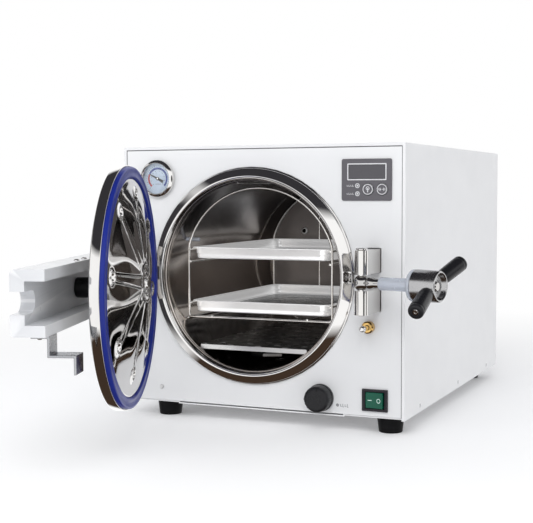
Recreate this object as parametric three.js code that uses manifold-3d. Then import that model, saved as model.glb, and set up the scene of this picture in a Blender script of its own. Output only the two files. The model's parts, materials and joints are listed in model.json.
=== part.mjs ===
// Benchtop autoclave: a steel cabinet round a horizontal pressure chamber, with a side-hinged
// disc door carried on a channel bar, an eye-bolt latch with a two-armed handle, a wire rack
// with two trays, a pressure gauge, a display panel, a drain valve knob and a power switch.
// Millimetres. +X is to the right of someone facing the front, +Y runs to the back, +Z is up.
// The origin is the centre of the base pan's underside; the feet hang below it.
// The rest pose has the door open and the latch bolt swung out to the side.
import * as THREE from "three";
import { mergeVertices } from "three/addons/utils/BufferGeometryUtils.js";
import Module from "manifold-3d";

const wasm = await Module();
wasm.setup();

// ---- driving dimensions ----
const WIDTH = 403; // cabinet
const DEPTH = 523;
const HEIGHT = 350;
const SHEET = 1.5; // cabinet sheet steel
const GAP = 0.4; // clearance between neighbouring pieces
const LIP = 4; // the cover's folded front edge
const FOOT_HEIGHT = 20;

const AXIS_X = -9.8; // chamber axis
const AXIS_Z = 177.7;
const BORE = 125; // chamber inner radius
const CHAMBER_WALL = 2.5;
const CHAMBER_DEPTH = 350;
const RING_RADIUS = 143.5; // mouth ring
const RING_PROUD = 10;

const HINGE_X = -175.5; // door hinge pin
const HINGE_Y = -75.5;
const LATCH_X = 160.4; // latch pin
const LATCH_Y = -48.5;
const OPEN_ANGLE = 72.4; // door at rest, degrees from shut
const BOLT_ANGLE = 12; // latch bolt at rest, degrees forward of +X
const PIN_RADIUS = 5;
const NOSE_RADIUS = 8.6; // rounded front of the hinge and latch blocks
const BLOCK_INNER = 9.9; // half the gap between an upper and a lower block
const BLOCK_OUTER = 39.6; // half the height over both blocks

const BAR_HALF_HEIGHT = 34.5;
const BAR_BACK = 17.7; // bar's inner face, from the hinge pin towards the chamber
const BAR_DEPTH = 36.8;
const BAR_WEB = 15.5;
const BAR_FLANGE = 12;
const BAR_END = LATCH_X - HINGE_X + 25;

const WIRE = 1.6; // rack wire radius
const RACK_FRONT = 25;
const RACK_REAR = 320;
const UPPER_TRAY_RIM = 213.5;
const LOWER_TRAY_RIM = 140.5;

const FINE = 48; // segments round large circles
const SMALL = 24; // segments round small ones

// ---- colours ----
const steel = { color: 0xc9c7c4, metalness: 0.95, roughness: 0.18 };
const brushed = { color: 0xb4b2af, metalness: 0.9, roughness: 0.38 };
const paint = { color: 0xe6e7e9, metalness: 0.0, roughness: 0.42 };
const black = { color: 0x17181a, metalness: 0.0, roughness: 0.45 };
const rubber = { color: 0x111214, metalness: 0.0, roughness: 0.8 };
const blue = { color: 0x1a2a9c, metalness: 0.0, roughness: 0.5 };
const brass = { color: 0xc79a45, metalness: 0.95, roughness: 0.3 };
const cast = { color: 0xd7d9dc, metalness: 0.1, roughness: 0.4 };
const clear = { color: 0xbcc6dd, metalness: 0.0, roughness: 0.3 };

const radians = (degrees) => (degrees * Math.PI) / 180;

// ---- solids ----
function solid(geometry) {
  const plain = geometry.index ? geometry.toNonIndexed() : geometry.clone();
  plain.deleteAttribute("normal");
  plain.deleteAttribute("uv");
  const merged = mergeVertices(plain, 1e-4);
  return new wasm.Manifold(
    new wasm.Mesh({
      numProp: 3,
      vertProperties: new Float32Array(merged.attributes.position.array),
      triVerts: new Uint32Array(merged.index.array),
    }),
  );
}

function joined(...solids) {
  return solids.reduce((all, one) => all.add(one));
}

function cut(body, ...tools) {
  return tools.reduce((left, tool) => left.subtract(tool), body);
}

function geometryOf(body) {
  const mesh = body.getMesh();
  const geometry = new THREE.BufferGeometry();
  geometry.setAttribute("position", new THREE.BufferAttribute(mesh.vertProperties, 3));
  geometry.setIndex(new THREE.BufferAttribute(mesh.triVerts, 1));
  return geometry;
}

function part(name, body, look, parent) {
  const geometry = geometryOf(body);
  geometry.computeVertexNormals();
  const mesh = new THREE.Mesh(geometry, new THREE.MeshStandardMaterial(look));
  mesh.name = name;
  parent.add(mesh);
  return mesh;
}

function outline(points) {
  return new THREE.Shape(points.map(([x, y]) => new THREE.Vector2(x, y)));
}

function rounded(x0, x1, y0, y1, r) {
  const shape = new THREE.Shape();
  shape.moveTo(x0 + r, y0);
  shape.lineTo(x1 - r, y0);
  shape.absarc(x1 - r, y0 + r, r, -Math.PI / 2, 0);
  shape.lineTo(x1, y1 - r);
  shape.absarc(x1 - r, y1 - r, r, 0, Math.PI / 2);
  shape.lineTo(x0 + r, y1);
  shape.absarc(x0 + r, y1 - r, r, Math.PI / 2, Math.PI);
  shape.lineTo(x0, y0 + r);
  shape.absarc(x0 + r, y0 + r, r, Math.PI, Math.PI * 1.5);
  return shape;
}

function extruded(shape, depth, corners = 3) {
  const options = { depth, bevelEnabled: false, curveSegments: corners };
  return new THREE.ExtrudeGeometry(shape, options);
}

// A shape drawn in (x, z), standing between the planes y0 and y1.
function acrossY(shape, y0, y1, corners) {
  return solid(extruded(shape, y1 - y0, corners).rotateX(Math.PI / 2).translate(0, y1, 0));
}

// A shape drawn in (x, y), standing between the heights z0 and z1.
function upright(shape, z0, z1, corners) {
  return solid(extruded(shape, z1 - z0, corners).translate(0, 0, z0));
}

function box(x0, x1, y0, y1, z0, z1) {
  const geometry = new THREE.BoxGeometry(x1 - x0, y1 - y0, z1 - z0);
  return solid(geometry.translate((x0 + x1) / 2, (y0 + y1) / 2, (z0 + z1) / 2));
}

function turned(profile, segments) {
  const points = profile.map(([r, h]) => new THREE.Vector2(r, h));
  const closed = profile[0][0] > 0;
  if (closed) points.push(points[0].clone());
  const body = solid(new THREE.LatheGeometry(points, segments));
  if (body.volume() > 0) return body;
  return solid(new THREE.LatheGeometry(points.reverse(), segments));
}

// Profiles are [radius, distance along the axis].
function turnedY(profile, x, z, segments = SMALL) {
  return turned(profile, segments).translate([x, 0, z]);
}

function turnedZ(profile, x, y, segments = SMALL) {
  return turned(profile, segments).rotate([90, 0, 0]).translate([x, y, 0]);
}

function turnedX(profile, y, z, segments = SMALL) {
  return turned(profile, segments).rotate([0, 0, -90]).translate([0, y, z]);
}

const rod = (r, from, to) => [[0, from], [r, from], [r, to], [0, to]];
const tube = (inner, outer, from, to) => [[inner, from], [outer, from], [outer, to], [inner, to]];

function straightWire(from, to, radius, sides = 6) {
  const a = new THREE.Vector3(...from);
  const b = new THREE.Vector3(...to);
  const geometry = new THREE.CylinderGeometry(radius, radius, a.distanceTo(b), sides);
  const along = b.clone().sub(a).normalize();
  const turn = new THREE.Quaternion().setFromUnitVectors(new THREE.Vector3(0, 1, 0), along);
  const middle = a.add(b).multiplyScalar(0.5);
  return solid(geometry.applyQuaternion(turn).translate(middle.x, middle.y, middle.z));
}

function curvedTube(points, radius, steps, sides = 8) {
  const path = new THREE.CatmullRomCurve3(points.map((p) => new THREE.Vector3(...p)));
  const ring = new THREE.Shape();
  ring.absarc(0, 0, radius, 0, 2 * Math.PI);
  const options = { steps, extrudePath: path, curveSegments: sides / 2, bevelEnabled: false };
  return solid(new THREE.ExtrudeGeometry(ring, options));
}

// ---- groups ----
const autoclave = new THREE.Group();
const front = new THREE.Group(); // y = 0 is the plane of the cabinet's front
front.position.y = -DEPTH / 2;
autoclave.add(front);

const door = new THREE.Group(); // origin on the hinge pin, +X along the bar, +Y to the chamber
door.position.set(HINGE_X, HINGE_Y, 0);
door.rotation.z = radians(-OPEN_ANGLE);
front.add(door);

const bolt = new THREE.Group(); // origin on the latch pin, +X out along the bolt
bolt.position.set(LATCH_X, LATCH_Y, AXIS_Z);
bolt.rotation.z = radians(-BOLT_ANGLE);
front.add(bolt);

// ---- cabinet ----
const PANEL_FRONT = 0.8;
const PANEL_BACK = PANEL_FRONT + SHEET;
const PANEL_HALF = WIDTH / 2 - LIP - GAP;
const PANEL_FOOT = 3.4;

const GAUGE = { x: -148, z: 307, radius: 25.5 };
const DISPLAY = { x: 150.5, z: 303.8, width: 66.5, height: 52.7 };
const KNOB = { x: 88.5, z: 23, radius: 17.2 };
const SWITCH = { x: 162.3, z: 24.3, width: 34.2, height: 28.3 };
const INTERLOCK = { x: 154, z: 117.5 };
const PLUG = { x: -145.7, z: 21.7 };

function archShape(half, top, inner, innerTop) {
  return outline([
    [-half, 0], [-inner, 0], [-inner, innerTop], [inner, innerTop], [inner, 0], [half, 0],
    [half, top - 2], [half - 2, top], [-half + 2, top], [-half, top - 2],
  ]);
}

function makeCover() {
  const half = WIDTH / 2;
  const shell = acrossY(archShape(half, HEIGHT, half - SHEET, HEIGHT - SHEET), 0, DEPTH);
  const lip = acrossY(archShape(half, HEIGHT, half - LIP, HEIGHT - LIP), 0, SHEET);
  part("cover", joined(shell, lip), paint, front);
}

function hole(shape, x, z, radius, segments = SMALL) {
  const path = new THREE.Path();
  for (let i = 0; i < segments; i += 1) {
    const angle = (-2 * Math.PI * i) / segments;
    const point = [x + radius * Math.cos(angle), z + radius * Math.sin(angle)];
    if (i === 0) path.moveTo(...point);
    else path.lineTo(...point);
  }
  shape.holes.push(path);
}

function window(shape, x0, x1, z0, z1) {
  const corners = [[x0, z0], [x0, z1], [x1, z1], [x1, z0]];
  shape.holes.push(new THREE.Path(corners.map(([x, z]) => new THREE.Vector2(x, z))));
}

function blockSlots(shape, pinX) {
  const half = NOSE_RADIUS + GAP;
  const near = AXIS_Z + BLOCK_INNER - GAP;
  const far = AXIS_Z + BLOCK_OUTER + GAP;
  window(shape, pinX - half, pinX + half, near, far);
  window(shape, pinX - half, pinX + half, 2 * AXIS_Z - far, 2 * AXIS_Z - near);
}

function makeFrontPanel() {
  const top = HEIGHT - LIP - GAP;
  const shape = outline([
    [-PANEL_HALF, PANEL_FOOT], [PANEL_HALF, PANEL_FOOT], [PANEL_HALF, top], [-PANEL_HALF, top],
  ]);
  hole(shape, AXIS_X, AXIS_Z, RING_RADIUS + GAP, FINE);
  blockSlots(shape, HINGE_X);
  blockSlots(shape, LATCH_X);
  hole(shape, GAUGE.x, GAUGE.z, 23.4);
  window(shape, DISPLAY.x - 29, DISPLAY.x + 29, DISPLAY.z - 22, DISPLAY.z + 22);
  hole(shape, KNOB.x, KNOB.z, 4.5, 12);
  window(shape, SWITCH.x - 15.5, SWITCH.x + 15.5, SWITCH.z - 12.6, SWITCH.z + 12.6);
  hole(shape, INTERLOCK.x, INTERLOCK.z, 6.4, 12);
  hole(shape, PLUG.x, PLUG.z, 2.3, 12);
  const flange = 12; // folded back all round to stiffen the panel
  const rim = outline([
    [-PANEL_HALF, PANEL_FOOT], [PANEL_HALF, PANEL_FOOT], [PANEL_HALF, top], [-PANEL_HALF, top],
  ]);
  const inside = PANEL_HALF - SHEET;
  window(rim, -inside, inside, PANEL_FOOT + SHEET, top - SHEET);
  const sheet = acrossY(shape, PANEL_FRONT, PANEL_BACK);
  part("front_panel", joined(sheet, acrossY(rim, PANEL_BACK, PANEL_BACK + flange)), paint, front);
}

const FEET = [
  ["foot_front_left", -147, 29], ["foot_front_right", 174, 29],
  ["foot_rear_left", -147, 492], ["foot_rear_right", 163, 492],
];
const FOOT_SEAT = 1.5; // height of the raised corner that each foot sits in

function makeBasePan() {
  const half = WIDTH / 2 - SHEET - GAP;
  const start = SHEET + GAP;
  const back = DEPTH - PANEL_FRONT;
  const seatX = 120; // the raised corners start here
  const seatY = 62;
  const middle = box(-seatX, seatX, start, back, 0, SHEET);
  const sides = box(-half, half, seatY, DEPTH - seatY, 0, SHEET);
  const corners = [];
  for (const side of [-1, 1]) {
    for (const [y0, y1] of [[start, seatY + SHEET], [DEPTH - seatY - SHEET, back]]) {
      const x0 = side < 0 ? -half : seatX - SHEET;
      corners.push(box(x0, x0 + half - seatX + SHEET, y0, y1, FOOT_SEAT, FOOT_SEAT + SHEET));
    }
  }
  const walls = [-1, 1].map((side) => {
    const outer = side * half;
    const inner = side * (half - SHEET);
    return box(Math.min(outer, inner), Math.max(outer, inner), seatY, DEPTH - seatY, 0, 22);
  });
  const holes = FEET.map(([, x, y]) => turnedZ(rod(3.2, -1, 6), x, y, 12));
  part("base_pan", cut(joined(middle, sides, ...corners, ...walls), ...holes), brushed, front);
}

function makeFeet() {
  const seat = FOOT_SEAT - GAP / 2;
  for (const [name, x, y] of FEET) {
    const profile = [
      [0, -FOOT_HEIGHT], [15.2, -FOOT_HEIGHT], [17.6, -0.5], [17.6, seat], [2.9, seat],
      [2.9, 5], [0, 5],
    ];
    part(name, turnedZ(profile, x, y), rubber, front);
  }
}

const EXHAUST = { x: -75.6, z: 110 };
const INLET = { x: 150, z: 45, width: 27.6, height: 20 };

function makeRearPanel() {
  const half = WIDTH / 2 - SHEET - GAP;
  const top = HEIGHT - SHEET - GAP;
  const shape = outline([[-half, 3.4], [half, 3.4], [half, top], [-half, top]]);
  hole(shape, EXHAUST.x, EXHAUST.z, 6.5, 12);
  const inletHalf = INLET.width / 2 + GAP;
  const inletTall = INLET.height / 2 + GAP;
  window(shape, INLET.x - inletHalf, INLET.x + inletHalf, INLET.z - inletTall, INLET.z + inletTall);
  const vents = [];
  for (let z = 230; z < 310; z += 11) vents.push(box(-60, 60, DEPTH - 5, DEPTH, z, z + 5));
  const sheet = acrossY(shape, DEPTH - PANEL_BACK, DEPTH - PANEL_FRONT);
  part("rear_panel", cut(sheet, ...vents), paint, front);
}

// ---- pressure chamber ----
const FRAME_FRONT = 21; // steel bulkhead that carries the mouth ring and both brackets
const FRAME_BACK = 26;

function makeFrame() {
  const shape = outline([[-190, 42], [190, 42], [190, 334], [-190, 334]]);
  hole(shape, AXIS_X, AXIS_Z, BORE + CHAMBER_WALL + 1, FINE);
  hole(shape, GAUGE.x, GAUGE.z, 9, 12);
  part("front_frame", acrossY(shape, FRAME_FRONT, FRAME_BACK), brushed, front);
}

const PORT = { x: -75.6, z: 225 }; // steam port in the chamber's rear wall
const HEATER_HALF = 26;
const HEATER_Z = AXIS_Z - 110;
const DRAIN_Y = 100;
const TOP_PORT_Y = 43;
const CHAMBER_OUTER = BORE + CHAMBER_WALL;

function makeChamber() {
  const back = CHAMBER_DEPTH;
  const dish = 8; // the rear wall bulges back a little under pressure
  const profile = [
    [0, back + dish], [70, back + dish - 2], [BORE, back], [BORE, 0.5], [BORE + 1, -2.5],
    [CHAMBER_OUTER, -2.5], [CHAMBER_OUTER, back + 2], [71, back + dish + 1],
    [0, back + dish + 3],
  ];
  const vessel = turnedY(profile, AXIS_X, AXIS_Z, FINE);
  const port = turnedY(rod(4.4, back - 10, back + 20), PORT.x, PORT.z, 12);
  const terminals = [-1, 1].map((side) =>
    turnedY(rod(5.2, back - 10, back + 20), AXIS_X + side * HEATER_HALF, HEATER_Z, 12));
  const drain = turnedZ(rod(4.4, AXIS_Z - BORE - 8, AXIS_Z - BORE + 8), AXIS_X, DRAIN_Y, 12);
  const relief = turnedZ(rod(4.4, AXIS_Z + BORE - 8, AXIS_Z + BORE + 8), AXIS_X, TOP_PORT_Y, 12);
  const tap = turnedZ(rod(3, BORE - 8, BORE + 8), 0, TOP_PORT_Y, 8).rotate([0, -45, 0]);
  const gaugeTap = tap.translate([AXIS_X, 0, AXIS_Z]);
  part("chamber", cut(vessel, port, ...terminals, drain, relief, gaugeTap), steel, front);
}

function makeMouthRing() {
  const inner = CHAMBER_OUTER + GAP;
  const face = -RING_PROUD;
  const profile = [
    [inner, -2.5], [inner, face + 2], [inner + 0.8, face + 0.5], [inner + 2.4, face],
    [RING_RADIUS - 9.5, face], [RING_RADIUS - 7, face + 0.7], [RING_RADIUS - 4.4, face + 2.6],
    [RING_RADIUS - 2.2, face + 5.2], [RING_RADIUS - 0.7, face + 8], [RING_RADIUS, face + 10.4],
    [RING_RADIUS, FRAME_FRONT - GAP], [inner, FRAME_FRONT - GAP],
  ];
  part("chamber_flange", turnedY(profile, AXIS_X, AXIS_Z, FINE), steel, front);
}

function makeInsulation() {
  const profile = tube(CHAMBER_OUTER + 1, CHAMBER_OUTER + 18, 60, 345);
  const wrap = turnedY(profile, AXIS_X, AXIS_Z, 32);
  const drainGap = turnedZ(rod(14, AXIS_Z - BORE - 30, AXIS_Z - BORE + 8), AXIS_X, DRAIN_Y, 12);
  part("insulation", cut(wrap, drainGap), { color: 0xd8d2c4, roughness: 0.95 }, front);
}

function makeHeater() {
  const left = AXIS_X - HEATER_HALF;
  const right = AXIS_X + HEATER_HALF;
  const back = CHAMBER_DEPTH + 24;
  const points = [
    [left, back, HEATER_Z], [left, 260, HEATER_Z], [left, 150, HEATER_Z], [left, 70, HEATER_Z],
    [left + 7, 50, HEATER_Z], [AXIS_X, 42, HEATER_Z], [right - 7, 50, HEATER_Z],
    [right, 70, HEATER_Z], [right, 150, HEATER_Z], [right, 260, HEATER_Z],
    [right, back, HEATER_Z],
  ];
  part("heater_element", curvedTube(points, 4.2, 30, 6), steel, front);
}

const BAFFLE_Z = 82;

function makeBaffle() {
  const half = Math.sqrt((BORE - 0.6) ** 2 - (AXIS_Z - BAFFLE_Z) ** 2);
  const thick = 1.2;
  const shape = outline([
    [AXIS_X - half, 5], [AXIS_X + half, 5], [AXIS_X + half, 345], [AXIS_X - half, 345],
  ]);
  const slots = [];
  for (const x of [-48, 0, 48]) {
    for (let y = 40; y < 310; y += 48) {
      const left = AXIS_X + x - 3;
      slots.push(box(left, left + 6, y, y + 30, BAFFLE_Z - 1, BAFFLE_Z + 3));
    }
  }
  const edge = box(AXIS_X - half + 8, AXIS_X + half - 8, 5, 5 + thick, BAFFLE_Z - 5, BAFFLE_Z);
  const sheet = upright(shape, BAFFLE_Z, BAFFLE_Z + thick);
  part("baffle_plate", cut(joined(sheet, edge), ...slots), brushed, front);
}

function makeProbe() {
  const z = 223.5;
  const wall = Math.sqrt(BORE ** 2 - (z - AXIS_Z) ** 2);
  const start = AXIS_X - wall + 1.2;
  part("temperature_probe", turnedX(rod(2.6, start, start + 20), 38, z, 12), clear, front);
}

// ---- rack and trays ----
const RACK_HALF = 104.7;
const RACK_FOOT = AXIS_Z - 59.7;
const RACK_SHOULDER = AXIS_Z + 38;
const ARCH_RADIUS = 109.2;
const ARCH_CENTRE = AXIS_Z + 7;

function rackFrame(y) {
  const pieces = [];
  const x = (side) => AXIS_X + side * RACK_HALF;
  for (const side of [-1, 1]) {
    pieces.push(straightWire([x(side), y, RACK_FOOT - WIRE], [x(side), y, RACK_SHOULDER + WIRE], WIRE));
  }
  pieces.push(straightWire([x(-1), y, RACK_FOOT], [x(1), y, RACK_FOOT], WIRE));
  const start = Math.atan2(RACK_SHOULDER - ARCH_CENTRE, RACK_HALF);
  const points = [];
  for (let i = 0; i <= 12; i += 1) {
    const angle = start + ((Math.PI - 2 * start) * i) / 12;
    points.push([AXIS_X + ARCH_RADIUS * Math.cos(angle), y, ARCH_CENTRE + ARCH_RADIUS * Math.sin(angle)]);
  }
  pieces.push(curvedTube(points, WIRE, 16, 6));
  return joined(...pieces);
}

function rackRun(x, z) {
  return straightWire([x, RACK_FRONT - WIRE, z], [x, RACK_REAR + WIRE, z], WIRE);
}

function makeRack() {
  const runs = [];
  const rail = RACK_HALF - 1.5 * WIRE; // welded to the inside of the uprights
  for (const side of [-1, 1]) {
    for (const rim of [UPPER_TRAY_RIM, LOWER_TRAY_RIM]) {
      runs.push(rackRun(AXIS_X + side * rail, rim - 1 - GAP - WIRE));
    }
    runs.push(rackRun(AXIS_X + side * rail, 193.5));
    runs.push(rackRun(AXIS_X + side * (RACK_HALF + 1.6), RACK_FOOT - 1.6));
    runs.push(rackRun(AXIS_X + side * 70, RACK_FOOT + 1.6));
  }
  const stop = straightWire([-36, RACK_REAR, RACK_FOOT], [-36, RACK_REAR, ARCH_CENTRE + 105.6], WIRE);
  const frames = [rackFrame(RACK_FRONT), rackFrame(RACK_REAR)];
  part("tray_rack", joined(...frames, ...runs, stop), steel, front);
}

function makeTray(name, rim) {
  const y0 = RACK_FRONT - 2.5;
  const y1 = RACK_REAR - WIRE - 3;
  const half = 98.4;
  const reach = 102.7; // the rim overhangs the rails
  const height = 15.5;
  const thick = 0.9;
  const over = reach - half;
  const left = AXIS_X - half;
  const right = AXIS_X + half;
  const body = upright(rounded(left, right, y0 + over, y1 - over, 12), rim - height, rim);
  const inside = rounded(left + thick, right - thick, y0 + over + thick, y1 - over - thick, 11);
  const hollow = upright(inside, rim - height + thick, rim + 1);
  const lip = upright(rounded(left - over, right + over, y0, y1, 14), rim - 1, rim);
  part(name, cut(joined(body, lip), hollow), steel, front);
}

// ---- hinge and latch brackets ----
function blockShape(pinX, pinY, inner, outer) {
  const shape = new THREE.Shape();
  shape.moveTo(pinX - NOSE_RADIUS, outer);
  shape.lineTo(pinX - NOSE_RADIUS, pinY);
  shape.absarc(pinX, pinY, NOSE_RADIUS, Math.PI, 2 * Math.PI);
  shape.lineTo(pinX + NOSE_RADIUS, outer);
  shape.lineTo(pinX - NOSE_RADIUS, outer);
  return shape;
}

function makeBracket(name, pinX, pinY, rootLeft, rootRight) {
  const rootFront = 8;
  const shape = blockShape(pinX, pinY, 0, rootFront + 1);
  const upper = upright(shape, AXIS_Z + BLOCK_INNER, AXIS_Z + BLOCK_OUTER, 10);
  const lower = upright(shape, AXIS_Z - BLOCK_OUTER, AXIS_Z - BLOCK_INNER, 10);
  const back = FRAME_FRONT - GAP;
  const low = AXIS_Z - BLOCK_OUTER;
  const root = box(rootLeft, rootRight, rootFront, back, low, AXIS_Z + BLOCK_OUTER);
  const bore = turnedZ(rod(PIN_RADIUS + GAP, 100, 260), pinX, pinY, 16);
  part(name, cut(joined(upper, lower, root), bore), steel, front);
}

function makePin(name, pinX, pinY) {
  const low = AXIS_Z - BLOCK_OUTER - 1;
  const top = AXIS_Z + BLOCK_OUTER + GAP;
  const profile = [
    [0, low], [PIN_RADIUS, low], [PIN_RADIUS, top], [PIN_RADIUS + 2, top],
    [PIN_RADIUS + 2, top + 2], [PIN_RADIUS, top + 3], [0, top + 3],
  ];
  part(name, turnedZ(profile, pinX, pinY, 16), steel, front);
}

// ---- door ----
const DOOR_CENTRE = AXIS_X - HINGE_X; // along the bar, from the pin
const RIM_RADIUS = 142.9;
const GASKET_PROUD = 1; // the gasket stands this far out of the rim
const RIM_FRONT = -RING_PROUD - GAP - GASKET_PROUD - HINGE_Y; // towards the chamber, from the pin
const RIM_BACK = RIM_FRONT - 14;
const DOME_RISE = 20;
const GASKET_OUTER = 141.2;
const GASKET_INNER = 129.5;
const GASKET_SEAT = 5; // depth of its groove

function makePan() {
  const groove = RIM_FRONT - GASKET_SEAT;
  const dome = RIM_FRONT + DOME_RISE;
  const profile = [
    [0, dome], [40, dome - 2], [80, dome - 7.6], [112, dome - 15.2], [GASKET_INNER - 1.5, RIM_FRONT - 1],
    [GASKET_INNER - GAP, groove], [GASKET_OUTER + GAP, groove], [GASKET_OUTER + GAP, RIM_FRONT],
    [RIM_RADIUS - 0.5, RIM_FRONT], [RIM_RADIUS, RIM_FRONT - 0.8], [RIM_RADIUS, RIM_BACK + 1.5],
    [RIM_RADIUS - 1.5, RIM_BACK], [124, RIM_BACK], [110, dome - 20], [80, dome - 12],
    [40, dome - 6.4], [0, dome - 4.5],
  ];
  part("door_pan", turnedY(profile, DOOR_CENTRE, AXIS_Z, FINE), steel, door);
}

function makeGasket() {
  const floor = RIM_FRONT - GASKET_SEAT + GAP;
  const faceY = RIM_FRONT + GASKET_PROUD;
  const profile = [
    [GASKET_INNER, floor], [GASKET_OUTER, floor], [GASKET_OUTER, faceY - 2],
    [GASKET_OUTER - 2, faceY], [GASKET_INNER + 2, faceY], [GASKET_INNER, faceY - 2],
  ];
  part("door_gasket", turnedY(profile, DOOR_CENTRE, AXIS_Z, FINE), blue, door);
}

const BAR_FRONT = BAR_BACK - BAR_DEPTH;
const BAR_START = 15; // the channel starts clear of the hinge blocks
const NOTCH_HALF = 11.8;
const NOTCH_DEPTH = 36;

function makeBar() {
  const low = AXIS_Z - BAR_HALF_HEIGHT;
  const high = AXIS_Z + BAR_HALF_HEIGHT;
  const section = new THREE.Shape();
  const corner = 5;
  section.moveTo(BAR_BACK, low);
  section.lineTo(BAR_BACK, low + BAR_FLANGE);
  section.lineTo(BAR_FRONT + BAR_WEB, low + BAR_FLANGE);
  section.lineTo(BAR_FRONT + BAR_WEB, high - BAR_FLANGE);
  section.lineTo(BAR_BACK, high - BAR_FLANGE);
  section.lineTo(BAR_BACK, high);
  section.lineTo(BAR_FRONT + corner, high);
  section.absarc(BAR_FRONT + corner, high - corner, corner, Math.PI / 2, Math.PI);
  section.lineTo(BAR_FRONT, low + corner);
  section.absarc(BAR_FRONT + corner, low + corner, corner, Math.PI, Math.PI * 1.5);
  const lengthwise = new THREE.Matrix4().makeBasis(
    new THREE.Vector3(0, 1, 0), new THREE.Vector3(0, 0, 1), new THREE.Vector3(1, 0, 0));
  const run = extruded(section, BAR_END - BAR_START).applyMatrix4(lengthwise);
  const channel = solid(run.translate(BAR_START, 0, 0));
  const tongueHalf = BLOCK_INNER - 0.5;
  const tongue = outline([
    [0, -NOSE_RADIUS], [BAR_START + 22, BAR_FRONT + 1], [BAR_START + 22, BAR_BACK - 4],
    [0, NOSE_RADIUS],
  ]);
  const plate = upright(tongue, AXIS_Z - tongueHalf, AXIS_Z + tongueHalf);
  const eye = turnedZ(rod(NOSE_RADIUS, AXIS_Z - tongueHalf, AXIS_Z + tongueHalf), 0, 0, SMALL);
  const pinHole = turnedZ(rod(PIN_RADIUS + GAP, 0, 300), 0, 0, 16);
  const notch = rounded(
    BAR_END - NOTCH_DEPTH, BAR_END + 30, AXIS_Z - NOTCH_HALF, AXIS_Z + NOTCH_HALF, NOTCH_HALF - 0.01);
  const slot = acrossY(notch, BAR_FRONT - 1, BAR_FRONT + BAR_WEB + 1, 6);
  const screwHole = turnedY(rod(5.4, BAR_FRONT - 1, BAR_FRONT + BAR_WEB + 1), DOOR_CENTRE, AXIS_Z, 12);
  part("door_bar", cut(joined(channel, plate, eye), pinHole, slot, screwHole), cast, door);
}

function makeBoss() {
  const start = BAR_FRONT + BAR_WEB + GAP;
  const end = RIM_FRONT + DOME_RISE - 4.7 - GAP;
  const body = turnedY(rod(12.2, start, end), DOOR_CENTRE, AXIS_Z);
  const bore = turnedY(rod(5.4, start - 1, start + 20), DOOR_CENTRE, AXIS_Z, 12);
  part("door_boss", cut(body, bore), black, door);
  const head = BAR_FRONT - GAP;
  const profile = [
    [0, head - 6], [8, head - 6], [9.5, head - 4.5], [9.5, head], [5, head], [5, start + 18],
    [0, start + 18],
  ];
  part("boss_bolt", turnedY(profile, DOOR_CENTRE, AXIS_Z, 12), steel, door);
}

const STRIKER_FACE = -30.5 - HINGE_Y; // meets the interlock plunger with the door shut

function makeStriker() {
  const thick = 2.7;
  const top = AXIS_Z - BAR_HALF_HEIGHT - GAP;
  const knee = 123.2;
  const foot = 103;
  const leg = BAR_BACK - 0.4;
  const profile = outline([
    [leg - 20, top], [leg - 20, top - thick], [leg - thick, top - thick], [leg - thick, knee - thick],
    [STRIKER_FACE - thick, knee - thick], [STRIKER_FACE - thick, foot], [STRIKER_FACE, foot],
    [STRIKER_FACE, knee], [leg, knee], [leg, top],
  ]);
  const width = 28;
  const start = BAR_END - 15 - width;
  const lengthwise = new THREE.Matrix4().makeBasis(
    new THREE.Vector3(0, 1, 0), new THREE.Vector3(0, 0, 1), new THREE.Vector3(1, 0, 0));
  const strip = solid(extruded(profile, width).applyMatrix4(lengthwise).translate(start, 0, 0));
  part("striker_bracket", strip, steel, door);
}

// ---- latch bolt and handle ----
const SLEEVE_START = 27; // along the bolt from the latch pin
const WASHER_START = 70.5;
const HUB_START = 75.5;
const HUB_END = 108;
const HUB_RADIUS = 18.4;
const HUB_TAPER = 0.7; // the outer end is this much smaller

function makeBolt() {
  const eyeProfile = [
    [PIN_RADIUS + GAP, -7.5], [8.2, -7.5], [9.3, -4], [9.3, 4], [8.2, 7.5], [PIN_RADIUS + GAP, 7.5],
  ];
  const eye = turnedZ(eyeProfile, 0, 0);
  const shank = turnedX(rod(5.8, 7, HUB_END - 4), 0, 0, 16);
  const neck = turnedX([[0, 7], [7.2, 7], [7.2, 16], [5.8, 19], [0, 19]], 0, 0, 16);
  const pinHole = turnedZ(rod(PIN_RADIUS + GAP, -20, 20), 0, 0, SMALL);
  part("eye_bolt", cut(joined(eye, neck, shank), pinHole), steel, bolt);
  part("bolt_sleeve", turnedX(tube(6.2, 8, SLEEVE_START, WASHER_START - 1), 0, 0, 16), clear, bolt);
  const washer = tube(8.5, HUB_RADIUS - 0.3, WASHER_START, HUB_START - GAP);
  part("thrust_washer", turnedX(washer, 0, 0), clear, bolt);
}

function hubProfile() {
  const thread = HUB_START + 20; // the nut's thread runs from here to the end recess
  const outer = HUB_RADIUS - HUB_TAPER;
  return [
    [6.3, thread], [8.8, thread], [8.8, HUB_START], [HUB_RADIUS, HUB_START],
    [outer, HUB_END - 1.5], [outer - 1.2, HUB_END], [14.5, HUB_END], [13, HUB_END - 3.5],
    [6.3, HUB_END - 3.5],
  ];
}

const GRIP_ROOT = 95; // where both grips' axes meet the bolt's axis
const GRIP_REACH = 64.4; // from there to a grip's end
const GRIP_LEAN = 9.5; // degrees out along the bolt
const GRIP_SLOPE = 23.5; // degrees down at the near grip, up at the far one

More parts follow.
